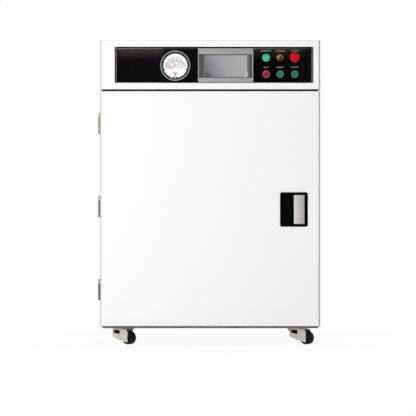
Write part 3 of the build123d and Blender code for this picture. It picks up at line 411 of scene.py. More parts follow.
def grow(name, tree, points, values, body, move=(0, 0, 0)):
    """Runs a geometry tree on a set of points and keeps the result as a plain mesh on one body."""
    base = bpy.data.meshes.new(name)
    base.from_pydata([tuple(point) for point in points], [], [])
    item = bpy.data.objects.new(name, base)
    bpy.context.scene.collection.objects.link(item)
    modifier = item.modifiers.new(name, "NODES")
    modifier.node_group = tree
    for socket in tree.interface.items_tree:
        if socket.item_type == "SOCKET" and socket.in_out == "INPUT" and socket.name in values:
            modifier[socket.identifier] = values[socket.name]
    graph = bpy.context.evaluated_depsgraph_get()
    mesh = bpy.data.meshes.new_from_object(item.evaluated_get(graph), preserve_all_data_layers=True, depsgraph=graph)
    item.modifiers.clear()
    item.data = mesh
    mesh.transform(Matrix.Translation(move))
    mesh.shade_smooth()
    mesh.set_sharp_from_angle(angle=SMOOTH_ANGLE)
    settle(item, (), body)


def drive(name, places, radius, height, sides, facing, finish_name, body):
    """Puts a screw or bolt head on each place."""
    head = {
        "Head radius": radius,
        "Head height": height,
        "Sides": sides,
        "Facing": facing,
        "Finish": finish(finish_name),
    }
    grow(name, screw_tree(), places, head, body)


def drive_crossed(names, places, radius, height, length, out, facing, body):
    """Puts bright screw heads on the places, and in each a cross recess that lies a step further out."""
    drive(names[0], places, radius, height, 24, facing, "bright_steel", body)
    cross = {"Length": length, "Width": 0.9 * MM, "Facing": facing, "Finish": finish("black_plastic")}
    tops = [(x + out[0], y + out[1], z) for x, y, z in places]
    grow(names[1], recess_tree(), tops, cross, body)


# ---------------------------------------------------------------- finishes
def plain(label, colour, roughness, pattern, rough=None, shading=None, stops=None, bump=None, **shine):
    """A finish with one pattern, which varies its roughness and its colour and may press into it.

    The colour is a hex code or the name of a setting, and the pattern is a function with its sizes.
    """

    def make(colours):
        base = linear(colour) if colour[0] == "#" else getattr(colours, colour)
        material, tree, shader, place = blank(label, base, roughness, **shine)
        level = pattern[0](tree, place, *pattern[1:])
        if rough:
            roughen(tree, shader, level, *rough)
        if shading:
            paint(tree, shader, shade(tree, base, level, shading))
        if stops:
            paint(tree, shader, tones(tree, level, stops))
        if bump:
            relief(tree, shader, level, *bump)
        return material

    return make


def powder_coat_white(colours):
    """White powder-coated steel: half gloss, with the faint orange peel of baked powder."""
    material, tree, shader, place = blank("powder coated steel, white", colours.enamel, 0.34)
    # the peel is about 2 mm across on the real coat, and is drawn 7 mm across so that it shows
    peel = grain(tree, place, 7)
    paint(tree, shader, shade(tree, colours.enamel, grain(tree, place, 240, 1.0), 0.015))
    roughen(tree, shader, peel, 0.3, 0.38)
    relief(tree, shader, peel, 0.05, 0.35)
    return material


def paddle_nickel(colours):
    """Satin nickel of the paddle, brushed upright, with painted shading: brighter towards its left edge and near its
    top, darker to the right.
    """
    material, tree, shader, place = blank("satin nickel plate, handled", colours.nickel, 0.33, 1.0)
    low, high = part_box("latch_paddle")
    spot = axes_of(tree, place)
    across = between(tree, spot["X"], low.x, high.x)
    rise = between(tree, spot["Z"], high.z - 30 * MM, high.z - 8 * MM, 0.0, 0.12)
    lines = brushing(tree, place, UPRIGHT, 1.6)
    veil = between(tree, lines, 0.0, 1.0, -0.05, 0.05)
    # painted shading: lighter to the left and near the top, darker to the right
    level = maths(tree, "ADD", maths(tree, "SUBTRACT", across, rise), veil)
    stops = [(0.0, "#E6E3DE"), (0.14, "#D4D1CC"), (0.45, "#C5C2BD"), (0.82, "#B0AEA9"), (1.0, "#ADABA6")]
    paint(tree, shader, tones(tree, level, stops))
    roughen(tree, shader, lines, 0.26, 0.42)
    relief(tree, shader, lines, 0.02, 0.4)
    return material


def hinge_nickel(colours):
    """Nickel-plated hinge steel with painted reflections: warm at the top hinge, slate lower down, and a painted
    highlight over each hinge's top.
    """
    material, tree, shader, place = blank("nickel plate, dulled", linear("#9A9A96"), 0.4, 0.7)
    height = axes_of(tree, place)["Z"]
    low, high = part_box("door_skin")
    rise = between(tree, height, low.z, high.z)
    wear = grain(tree, place, 14, 3.0)
    # painted reflection: warm at the top hinge, slate lower down
    plate = tones(tree, rise, [(0.2, "#6A7276"), (0.35, "#84898B"), (0.6, "#84898B"), (0.75, "#AFA893")])
    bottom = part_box("hinge_frame_leaves")[0].z
    within = maths(tree, "MODULO", maths(tree, "SUBTRACT", height, bottom), HINGE_PITCH)
    # painted highlight along the top of each hinge
    top = between(tree, within, 66 * MM, 69 * MM, 0.0, 0.6)
    paint(tree, shader, blend(tree, top, plate, opaque(linear("#D6D4CE"))))
    roughen(tree, shader, wear, 0.34, 0.5)
    relief(tree, shader, wear, 0.05, 0.3)
    return material


def rolled_edge(colours):
    """Powder coat with painted shade, for the strips over the upright edges of door and console: grey, and darker
    towards the right.
    """
    material, tree, shader, place = blank("powder coated steel, rolled edge", linear("#D0D0D0"), 0.4)
    low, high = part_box("door_skin")
    across = between(tree, axes_of(tree, place)["X"], low.x, high.x)
    # painted shade: greyer than the face, and darker towards the right
    paint(tree, shader, tones(tree, across, [(0.0, "#C0C0C1"), (1.0, "#ACACAC")]))
    relief(tree, shader, grain(tree, place, 7), 0.05, 0.3)
    return material


def anodised_aluminium(colours):
    """Turned and anodised aluminium: pale satin grey, with turning rings round the gauge's axis."""
    material, tree, shader, place = blank("anodised aluminium, turned", linear("#9FA0A2"), 0.26, 1.0)
    centre = middle("gauge_bezel")[0]
    about = add(tree, "ShaderNodeMapping", {"Vector": place, "Location": tuple(-centre)}).outputs["Vector"]
    # turning marks are 0.2 mm apart on the real ring, and are drawn 1.5 mm apart so that they show
    wave = {"Vector": about, "Scale": per_mm(1.5) / 20, "Distortion": 0.6}
    rings = add(tree, "ShaderNodeTexWave", wave, wave_type="RINGS", rings_direction="Y").outputs["Fac"]
    roughen(tree, shader, rings, 0.22, 0.32)
    relief(tree, shader, rings, 0.02, 0.3)
    return material


def window_glass(colours):
    """Coated float glass over the dial: clear, hardly mirrors, and lets the lamps' light through to the dial."""
    material, tree, shader, place = blank("float glass, coated", WHITE, 0.02, 0.0, 1.45, 0.1)
    shader.inputs["Transmission Weight"].default_value = 1.0
    roughen(tree, shader, grain(tree, place, 30), 0.0, 0.04)
    shadow = add(tree, "ShaderNodeLightPath").outputs["Is Shadow Ray"]
    clear = add(tree, "ShaderNodeBsdfTransparent").outputs[0]
    mix = add(tree, "ShaderNodeMixShader", {0: shadow, 1: shader.outputs[0], 2: clear})
    tree.links.new(mix.outputs[0], tree.nodes["Material Output"].inputs["Surface"])
    return material


def sleeping_screen(colours):
    """Liquid crystal display, switched off, under a protective film, with a painted reflection: grey, darker to the
    left, lighter towards the top, and bluish dark at the lower left.
    """
    material, tree, shader, place = blank("display under film", linear("#8F9094"), 0.22, specular=0.25)
    low, high = middle("touch_panel_screen")[1:]
    spot = axes_of(tree, place)
    across = between(tree, spot["X"], low.x, high.x)
    rise = between(tree, spot["Z"], low.z, high.z, -0.06, 0.16)
    film = brushing(tree, place, (1.0, 1.0, 0.04), 16)
    veil = between(tree, film, 0.0, 1.0, -0.06, 0.06)
    # painted reflection: darker to the left and lower down
    level = maths(tree, "ADD", maths(tree, "ADD", across, rise), veil)
    grey = tones(tree, level, [(0.0, "#62656B"), (0.18, "#7F8185"), (0.5, "#9E9FA1"), (1.0, "#AAAAAB")])
    # painted reflection: a bluish dark patch at the lower left corner
    corner = {"Vector": place, "Location": (-low.x - 0.012, 0.0, -low.z - 0.008)}
    corner = add(tree, "ShaderNodeMapping", corner).outputs[0]
    corner = add(tree, "ShaderNodeVectorMath", {0: corner, 1: (40.0, 0.0, 50.0)}, operation="MULTIPLY").outputs[0]
    blue = add(tree, "ShaderNodeTexGradient", {"Vector": corner}, gradient_type="SPHERICAL").outputs["Fac"]
    paint(tree, shader, blend(tree, blue, grey, opaque(linear("#4A5468"))))
    roughen(tree, shader, film, 0.16, 0.3)
    return material


def dial_paint(colours):
    """White screen-printed aluminium dial: matt, with the grey and the blush of its small print."""
    material, tree, shader, place = blank("dial paint, white", colours.dial, 0.5)
    centre = middle("gauge_dial")[0]
    rise = between(tree, axes_of(tree, place)["Z"], centre.z - 22 * MM, centre.z - 8 * MM)
    flat = {"Vector": place, "Location": (-centre.x, 0.0, -centre.z), "Scale": (1.0, 0.0, 1.0)}
    flat = add(tree, "ShaderNodeMapping", flat).outputs[0]
    out = add(tree, "ShaderNodeVectorMath", {0: flat}, operation="LENGTH").outputs["Value"]
    inside = between(tree, out, 35 * MM, 43 * MM, 1.0, 0.0)
    legend = maths(tree, "MULTIPLY", maths(tree, "MULTIPLY", rise, grain(tree, place, 7, 4.0)), inside)
    print_grey = tones(tree, legend, [(0.2, "#E8E8E6"), (0.65, "#A2A2A3")])
    blush = {"Vector": flat, "Location": (0.0, 0.0, 29 / 10), "Scale": (1 / (15 * MM), 0.0, 1 / (10 * MM))}
    blush = add(tree, "ShaderNodeMapping", blush).outputs[0]
    blush = add(tree, "ShaderNodeTexGradient", {"Vector": blush}, gradient_type="SPHERICAL").outputs["Fac"]
    paint(tree, shader, blend(tree, blush, print_grey, opaque(linear("#CFA9A2"))))
    return material


def painted_edge_highlight(colours):
    """Saw-cut and flame-polished edge of the acrylic, with a painted highlight: brightest towards its left end, and
    bright again right of the middle.
    """
    material, tree, shader, place = blank("acrylic, polished edge", linear("#5A5652"), 0.3)
    low, high = middle("console_fascia")[1:]
    across = between(tree, axes_of(tree, place)["X"], low.x, high.x)
    # painted highlight along the edge
    stops = [(0.0, "#8F8B81"), (0.235, "#7D7970"), (0.262, "#34322F"), (0.5, "#262525")]
    stops += [(0.62, "#7A726E"), (0.8, "#6C6560"), (0.88, "#454140"), (1.0, "#2D2A29")]
    paint(tree, shader, tones(tree, across, stops))
    return material


FINISHES = {
    # metals and their coats
    "white_enamel": powder_coat_white,
    # painted shade on the upright edges of door and console
    "rolled_edge": rolled_edge,
    "paddle_nickel": paddle_nickel,
    "hinge_nickel": hinge_nickel,
    "silver_aluminium": anodised_aluminium,
    "dark_enamel": plain(
        "powder coated steel, dark grey", "dark_enamel", 0.55, (grain, 4, 3.0), (0.48, 0.62), bump=(0.1, 0.5)
    ),
    "stainless": plain(
        "stainless steel, brushed", "#B9B9B7", 0.3, (brushing, (0.02, 1.0, 1.0), 1.2), (0.22, 0.4), 0.12,
        bump=(0.03, 0.4), metallic=1.0,
    ),
    "zinc_steel": plain("zinc plated steel", "#DDD5CD", 0.42, (facets, 9), (0.34, 0.5), 0.12, metallic=0.6),
    "satin_steel": plain(
        "satin nickel plate", "nickel", 0.33, (brushing, UPRIGHT, 1.6), (0.26, 0.42), 0.14,
        bump=(0.02, 0.4), metallic=1.0,
    ),
    "bright_steel": plain("polished steel", "#D2D2D0", 0.14, (grain, 5, 2.0, 2.0), (0.1, 0.22), metallic=1.0),
    "shelf_aluminium": plain(
        "aluminium, mill finish", "#B3B4B5", 0.42, (brushing, (1.0, 0.015, 1.0), 2.5), (0.34, 0.52), 0.1, metallic=1.0
    ),
    "brass": plain(
        "brass, machined", "#C8A35C", 0.3, (grain, 14, 3.0), (0.38, 0.24),
        stops=[(0.3, "#A8843F"), (0.7, "#D0AC68")], metallic=1.0,
    ),
    "strip_metal": plain(
        "anodised strip, black", "#0D0E10", 0.4, (brushing, UPRIGHT, 1.5), (0.3, 0.45), 0.3, metallic=0.4
    ),
    "bead_metal": plain("anodised bead, grey", "#626361", 0.4, (brushing, UPRIGHT, 2), shading=0.2, metallic=0.2),
    "ring_chrome": plain("chrome plate, dull", "#8E8F90", 0.3, (grain, 4), (0.24, 0.38), 0.2, metallic=1.0),
    # rubber, fibre and cloth
    # painted shade under the door: grey-brown, with a random tone
    "painted_sill_shade": plain(
        "rubber strip, grey-brown", "#55554E", 0.7, (grain, 20, 4.0), (0.6, 0.8),
        stops=[(0.3, "#6E6962"), (0.7, "#878078")],
    ),
    "mineral_wool": plain(
        "mineral fibre blanket", "#D8D0B4", 0.95, (brushing, (0.2, 1.0, 1.0), 6),
        stops=[(0.25, "#B8AE8C"), (0.75, "#E4DEC6")], bump=(1.5, 0.8),
    ),
    # its glass cloth has a thread every 0.8 mm, and is drawn every 5 mm so that it shows
    "heater_silicone": plain("silicone heater mat", "#A8452A", 0.62, (weave, 5), shading=0.12, bump=(0.1, 0.4)),
    "seal_silicone": plain(
        "silicone rubber, red", "#B23C2A", 0.5, (grain, 18, 4.0), (0.42, 0.62),
        stops=[(0.35, "#A63625"), (0.75, "#BE5140")], ior=1.43,
    ),
    "black_tyre": plain(
        "polyurethane, black", "#070708", 0.6, (grain, 6, 5.0), (0.5, 0.75),
        stops=[(0.4, "#050506"), (0.8, "#141415")], specular=0.15,
    ),
    # plastics, acrylic, glass and film
    "black_gloss": plain(
        "acrylic sheet, black", "fascia", 0.07, (grain, 9, 5.0), (0.02, 0.04),
        stops=[(0.4, "#010101"), (0.8, "#070607")], ior=1.49, specular=0.05,
    ),
    "painted_edge_highlight": painted_edge_highlight,
    "black_plastic": plain(
        "ABS, moulded black", "#040405", 0.45, (grain, 3, 4.0), (0.36, 0.5), bump=(0.06, 0.35), specular=0.03
    ),
    "grey_plastic": plain("ABS, moulded grey", "panel_grey", 0.45, (grain, 4, 3.0), shading=0.05, bump=(0.05, 0.3)),
    "rail_grey": plain("ABS, dark grey rail", "rail_grey", 0.4, (brushing, UPRIGHT_SOFT, 3), shading=0.2),
    "lip_grey": plain("ABS, mid-grey lip", "#74767A", 0.4, (brushing, UPRIGHT_SOFT, 2), shading=0.15),
    "red_plastic": plain(
        "moulded plastic, red", "stop_red", 0.42, (grain, 12), (0.36, 0.5), 0.12, specular=0.12
    ),
    "green_plastic": plain("moulded plastic, green", "start_green", 0.35, (grain, 8), shading=0.3, specular=0.08),
    "green_lens": plain(
        "polycarbonate, green", "green_lens", 0.18, (facets, 5),
        stops=[(0.2, "#19A273"), (0.5, "#2FC08B"), (0.8, "#62DAAA")], bump=(0.3, 0.3), ior=1.58, specular=0.2,
    ),
    "amber_lens": plain(
        "polycarbonate, amber", "amber_lens", 0.2, (facets, 6),
        stops=[(0.3, "#2A1408"), (0.55, "#5A3115"), (0.85, "#B07A3C")], bump=(0.3, 0.3), ior=1.58, specular=0.3,
    ),
    "clear_glass": window_glass,
    "screen_glass": sleeping_screen,
    # the lifted film's white is a painted glint
    "lifted_film_glint": plain(
        "polyester film, lifted", "#F1F2F3", 0.3, (grain, 3), stops=[(0.3, "#D9DBDD"), (0.7, "#FBFBFB")]
    ),
    # paints and inks
    "dial_white": dial_paint,
    "pointer_black": plain("lacquer, black", "#17171A", 0.35, (grain, 1), (0.3, 0.42)),
    "pointer_red": plain("lacquer, brick red", "#B08A80", 0.4, (grain, 1), (0.34, 0.46)),
    "dial_ink": plain(
        "printing ink, dark grey", "#3A3B3F", 0.6, (grain, 2), stops=[(0.3, "#2E2F33"), (0.7, "#4A4B50")]
    ),
    "red_ink": plain(
        "printing ink, brick red", "#B07A70", 0.6, (grain, 2), stops=[(0.3, "#A06A60"), (0.7, "#C09088")]
    ),
    "label_ink": plain(
        "silk-screen ink, pale", "#B5ACAA", 0.6, (grain, 5, 3.0), stops=[(0.3, "#A89F9E"), (0.7, "#E2DAD8")]
    ),
}
MADE = {}


def finish(name):
    """The material of a finish, made the first time that a piece asks for it."""
    if name not in MADE:
        MADE[name] = FINISHES[name](bpy.context.scene.oven_colours)
    return MADE[name]


# ---------------------------------------------------------------- what a user may change
def colour_setting(name, description, code):
    """A colour property whose default is an sRGB hex colour."""
    return FloatVectorProperty(
        name=name, description=description, subtype="COLOR", size=3, min=0.0, max=1.0, default=linear(code)
    )


def size_setting(name, description, millimetres):
    """A length property whose default is given in millimetres."""
    return FloatProperty(
        name=name, description=description, subtype="DISTANCE", unit="LENGTH", min=0.0, default=millimetres * MM
    )


class OvenColours(bpy.types.PropertyGroup):
    """Colours of the oven's finishes."""

    enamel: colour_setting("Enamel", "Powder coat of the cabinet, console and door", "#F8F8F8")
    dark_enamel: colour_setting("Dark enamel", "Powder coat of the frame behind the door", "#2A2A2C")
    nickel: colour_setting("Nickel", "Paddle, hinges and caster forks", "#BDB7AC")
    fascia: colour_setting("Fascia", "Back-painted acrylic of the fascia", "#060606")
    dial: colour_setting("Dial", "Paint of the gauge's dial", "#F6F6F4")
    panel_grey: colour_setting("Panel grey", "Housing of the touch panel", "#A0A19F")
    rail_grey: colour_setting("Rail grey", "Side rails of the touch panel", "#46484C")
    green_lens: colour_setting("Green lens", "Lens of the power lamp", "#3CCB95")
    amber_lens: colour_setting("Amber lens", "Lens of the alarm lamp", "#6E3F16")
    stop_red: colour_setting("Stop red", "Mushroom head and stop cap", "#CB0B1C")
    start_green: colour_setting("Start green", "Start caps", "#058A62")


class OvenSizes(bpy.types.PropertyGroup):
    """Sizes of the fine pieces."""

    bezel_lip: size_setting("Bezel lip", "Width of the gauge bezel's bright lip", 4.6)
    mark_radius: size_setting("Mark radius", "Distance of the dial marks from the pointer's pivot", 54)
    mark_width: size_setting("Mark width", "Width of a long dial mark", 0.9)
    mark_sweep: FloatProperty(
        name="Mark sweep", description="Angle that the dial marks cover", subtype="ANGLE", default=math.radians(80)
    )
    mark_count: IntProperty(name="Mark count", description="Fine marks on the dial", min=2, max=200, default=41)
    numerals: StringProperty(name="Numerals", description="Numbers along the dial", default="0 2 4 6 8 10")
    numeral_size: size_setting("Numeral size", "Height of the dial's numbers", 6)
    label_size: size_setting("Label size", "Height of the control labels", 8.4)
    strip_width: size_setting("End strip width", "Width of the fascia's end strips", 9.5)
    paddle_rounding: size_setting("Paddle rounding", "Edge rounding of the latch paddle", 1.8)
    screw_head: size_setting("Screw head", "Radius of the small screw heads", 3)
    # widths of the grey strips that paint shade on the upright edges
    left_edge_shade: size_setting("Left painted edge shade", "Width of the greyer left edge of door and console", 4)
    right_edge_shade: size_setting("Right painted edge shade", "Width of the greyer right edge of door and console", 6.4)
    hood_depth: size_setting("Louvre depth", "How far the louvre hoods stand out", 5)


class OvenStage(bpy.types.PropertyGroup):
    """Camera, lamps and floor."""

    distance: FloatProperty(
        name="Camera distance", description="From the camera to the door", unit="LENGTH", default=9.25
    )
    frame_width: FloatProperty(
        name="Frame width", description="Width that the camera sees at the door", unit="LENGTH", default=1.664
    )
    camera_x: FloatProperty(name="Camera X", description="Sideways place of the camera", unit="LENGTH", default=-0.009)
    camera_z: FloatProperty(name="Camera Z", description="Height of the camera", unit="LENGTH", default=0.55)
    world_level: FloatProperty(name="World level", description="Light from all round", min=0.0, default=0.42)
    key_level: FloatProperty(name="Key level", description="Power of the large front lamp, in watts", default=138.0)
    rear_level: FloatProperty(name="Rear level", description="Power of the lamp behind, in watts", default=170.0)
    floor: colour_setting("Floor", "Colour of the floor", "#FAFAFA")


# ---------------------------------------------------------------- pieces
class OVEN_OT_finishes(bpy.types.Operator):
    """Gives every CAD piece the finish of its material slot"""

    bl_idname = "oven.finishes"
    bl_label = "Finishes"

    def execute(self, context):
        for name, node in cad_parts.items():
            node.data.materials[0] = finish(OWN_FINISH.get(name, SLOT_OF[name]))
        return {"FINISHED"}


class OVEN_OT_rear(bpy.types.Operator):
    """Presses hoods over the rear louvres and drives the panel screws"""

    bl_idname = "oven.rear"
    bl_label = "Rear panel"

    def execute(self, context):
        low, high = middle("rear_panel")[1:]
        hoods = {
            "Columns": 2,
            "Rows": 9,
            "Width": 300 * MM,
            "Height": 112 * MM,
            "Hood length": 106 * MM,
            "Hood radius": 3.4 * MM,
            "Hood depth": context.scene.oven_sizes.hood_depth,
            "Finish": finish("white_enamel"),
        }
        spot = (0, high.y - 0.4 * MM, high.z - 109.6 * MM)
        grow("louvre_hoods", louvre_tree(), [(0, 0, 0)], hoods, "cabinet", spot)
        bottom, top = low.z + 20 * MM, high.z - 20 * MM
        places = [
            (x * MM, high.y + 0.9 * MM, bottom + n * (top - bottom) / 3)
            for x in (-420, 0, 420)
            for n in range(4)
            if x or n in (0, 3)
        ]
        names = ("panel_screw_heads", "panel_screw_recesses")
        drive_crossed(names, places, 4.5 * MM, 2.2 * MM, 5 * MM, (0, 1.1 * MM), FACE_BACK, "cabinet")
        return {"FINISHED"}


class OVEN_OT_fascia(bpy.types.Operator):
    """Adds the fascia's end strips, its edges with a painted highlight, and the control labels"""

    bl_idname = "oven.fascia"
    bl_label = "Fascia"

    def execute(self, context):
        sizes = context.scene.oven_sizes
        low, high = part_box("console_fascia")
        hidden = 8 * MM
        face_y, left, right, bottom, top = low.y, low.x + hidden, high.x - hidden, low.z + hidden, high.z - hidden
        strips, beads, edges = bmesh.new(), bmesh.new(), bmesh.new()
        for edge, way, near, far in ((left, 1, 4.6 * MM, 7.8 * MM), (right, -1, 2.0 * MM, 7.4 * MM)):
            span = sorted((edge + way * 0.2 * MM, edge + way * sizes.strip_width))
            box_into(strips, (span[0], face_y - 1.2 * MM, bottom), (span[1], face_y + 0.2 * MM, top), 0.4 * MM)
            bead = sorted((edge + way * near, edge + way * far))
            box_into(beads, (bead[0], face_y - 1.8 * MM, bottom), (bead[1], face_y - 1.0 * MM, top), 0.3 * MM)
        piece("fascia_end_strips", strips, "silver_aluminium", ["strip_metal"])
        piece("fascia_strip_beads", beads, "silver_aluminium", ["bead_metal"])
        inner = (left + sizes.strip_width, right - sizes.strip_width)
        # the top and bottom edges carry a painted highlight
        for low_z, high_z in ((top - 8.8 * MM, top - 6.8 * MM), (bottom + 0.4 * MM, bottom + 2.2 * MM)):
            box_into(edges, (inner[0], face_y - 0.5 * MM, low_z), (inner[1], face_y + 0.2 * MM, high_z), 0.3 * MM)
        piece("fascia_polished_edges", edges, "black_gloss", ["painted_edge_highlight"])
        rows = ((top - 16.8 * MM, ("POWER", "ALARM", "STOP")), (top - 82.2 * MM, ("OFF", "HEAT", "PUMP")))
        words = [
            (word, sizes.label_size / MM, x, face_y - 0.05 * MM, z, 0.0)
            for z, row in rows
            for x, word in zip(LABEL_COLUMNS, row)
        ]
        lettering("control_labels", words, "label_ink", "black_gloss", apart=1.55)
        return {"FINISHED"}


class OVEN_OT_gauge(bpy.types.Operator):
    """Turns the gauge's bezel and prints its dial"""

    bl_idname = "oven.gauge"
    bl_label = "Gauge"

    def execute(self, context):
        self.turn_bezel(context.scene.oven_sizes)
        self.print_dial(context.scene.oven_sizes)
        self.add_fittings()
        return {"FINISHED"}

    def turn_bezel(self, sizes):
        """The satin ring with its black inner slope, and the black surround of the dial."""
        place, outer, front, back = round_node("gauge_bezel")
        inner = outer - sizes.bezel_lip / MM
        profile = [(outer, back), (outer, front + 3.0), (outer - 0.4, front + 1.4), (outer - 1.2, front + 0.4)]
        profile += [(outer - 2.0, front), (inner + 0.6, front + 0.3), (inner, front + 1.2), (inner - 0.5, front + 2.2)]
        profile += [(52.55, front + 4.2), (52.55, front + 4.3), (57.3, front + 4.3), (57.3, back)]
        bezel, ring = bmesh.new(), bmesh.new()
        turn_into(bezel, profile, place, 128, True, [0] * 6 + [1] * 4 + [0, 0])
        coats = ["silver_aluminium", "black_plastic"]
        piece("gauge_bezel_ring", bezel, "silver_aluminium", coats, replaces=("gauge_bezel",))
        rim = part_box("gauge_dial")[0].y / MM
        profile = [(48.2, rim - 0.05), (48.2, rim - 0.75), (48.6, rim - 1.15), (52.9, rim - 1.15), (52.9, rim - 0.05)]
        turn_into(ring, profile, place, 96, True)
        piece("dial_surround", ring, "black_plastic")

    def print_dial(self, sizes):
        """Marks, numbers and the unit, round the pointer's pivot."""
        centre = middle("gauge_bezel")[0]
        pivot = Vector((centre.x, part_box("gauge_dial")[0].y - 0.05 * MM, centre.z - 35 * MM))
        start = math.pi / 2 + sizes.mark_sweep / 2
        radius, width = sizes.mark_radius, sizes.mark_width
        for name, count, out, length, thick in (
            ("dial_fine_marks", sizes.mark_count, 1.5 * MM, 3 * MM, width / 2),
            ("dial_long_marks", 11, 2.5 * MM, 6 * MM, width),
            ("dial_scale_line", 161, -0.2 * MM, 0.5 * MM, 0.6 * MM),
        ):
            marks = {
                "Count": count,
                "Start": start,
                "Sweep": sizes.mark_sweep,
                "Radius": radius + out,
                "Mark length": length,
                "Mark width": thick,
                "Finish": finish("dial_ink"),
            }
            grow(name, tick_tree(), [(0, 0, 0)], marks, "cabinet", pivot)
        words = []
        numbers = sizes.numerals.split()
        reach = radius + 9.5 * MM
        for number, text in enumerate(numbers):
            angle = start - sizes.mark_sweep * number / (len(numbers) - 1)
            x = pivot.x + math.cos(angle) * reach
            z = pivot.z + math.sin(angle) * reach
            words.append((text, sizes.numeral_size / MM, x, pivot.y, z, math.pi / 2 - angle))
        lettering("dial_numerals", words, "dial_ink", "dial_white", 0.1)
        unit = [("kPa", 10.5, pivot.x, pivot.y, centre.z - 26.5 * MM, 0.0)]
        lettering("dial_unit", unit, "red_ink", "dial_white", 0.1)

    def add_fittings(self):
        """The dial's two screws, the clips at its edge and the boss of the zero screw."""
        centre = middle("gauge_bezel")[0]
        dial_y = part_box("gauge_dial")[0].y
        spots = [(centre.x + side * 38.5 * MM, dial_y - 0.5 * MM, centre.z) for side in (-1, 1)]
        drive("dial_screws", spots, 2.8 * MM, 1.2 * MM, 20, FACE_FRONT, "pointer_black", "cabinet")
        clips, boss = bmesh.new(), bmesh.new()
        for side in (-1, 1):
            corners = ((side * 48.8, -8.8), (side * 38, -14.6), (side * 47, -18.4))
            outline = [(centre.x + x * MM, centre.z + z * MM) for x, z in corners]
            prism_into(clips, outline, dial_y - 1.2 * MM, dial_y)
        piece("dial_edge_clips", clips, "black_plastic")
        outline = [
            (centre.x + x * MM, centre.z + z * MM) for x, z in ((-9.6, -51), (9.6, -51), (7.6, -44), (-7.6, -44))
        ]
        prism_into(boss, outline, dial_y - 6.6 * MM, dial_y, 0.5 * MM)
        piece("zero_screw_boss", boss, "black_plastic")


class OVEN_OT_touch_panel(bpy.types.Operator):
    """Frames the touch panel with its bars and rails, dark lines of painted shade over and under the display, and the
    display's loose film corner with a painted glint
    """

    bl_idname = "oven.touch_panel"
    bl_label = "Touch panel"

    def execute(self, context):
        low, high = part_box("touch_panel_case")
        screen_low, screen_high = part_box("touch_panel_screen")
        face = low.y
        base, head = screen_low.z - 1.7 * MM, screen_high.z + 4.4 * MM
        bars, lips, rails, film = bmesh.new(), bmesh.new(), bmesh.new(), bmesh.new()
        for bottom, top in ((head, high.z - 9.4 * MM), (high.z - 8.2 * MM, high.z), (low.z, base)):
            box_into(bars, (low.x, face - 1.5 * MM, bottom), (high.x, face + 0.5 * MM, top), 0.6 * MM)
        piece("touch_panel_bars", bars, "grey_plastic")
        for left, right in (
            (screen_low.x - 1.4 * MM, screen_low.x + 2.2 * MM),
            (screen_high.x + 0.2 * MM, screen_high.x + 6.8 * MM),
        ):
            box_into(lips, (left, face - 0.5 * MM, base), (right, face + 1 * MM, head), 0.3 * MM)
        piece("display_lips", lips, "grey_plastic", ["lip_grey"])
        for left, right, bottom, top in (
            (low.x + 3 * MM, screen_low.x - 1.6 * MM, base, head),
            (screen_high.x + 7 * MM, high.x - 4.6 * MM, base, head),
            # the two strips over and under the display are dark lines of painted shade in its gaps
            (screen_low.x + 2.4 * MM, screen_high.x, screen_high.z + 0.2 * MM, head - 0.6 * MM),
            (screen_low.x + 2.4 * MM, screen_high.x, base, screen_low.z + 1 * MM),
        ):
            box_into(rails, (left, face - 0.2 * MM, bottom), (right, face + 0.5 * MM, top), 0.15 * MM)
        piece("touch_panel_rails", rails, "grey_plastic", ["rail_grey"])
        # the lifted corner of the protective film; its white strokes are a painted glint
        corner = Vector((screen_high.x - 13.5 * MM, face - 0.6 * MM, screen_low.z + 1.2 * MM))
        for x, z, run, rise, wide in ((0.0, 0.0, 18, 11, 4), (6, 13.5, 10.5, 7, 2.4)):
            spots = (
                (x, z),
                (x + wide * 0.5, z - wide * 0.3),
                (x + run, z + rise - wide * 0.6),
                (x + run - wide * 0.5, z + rise + wide * 0.4),
            )
            outline = [(corner.x + across * MM, corner.z + up * MM) for across, up in spots]
            prism_into(film, outline, corner.y - 0.5 * MM, corner.y)
        piece("screen_film_corner", film, "screen_glass", ["lifted_film_glint"])
        return {"FINISHED"}


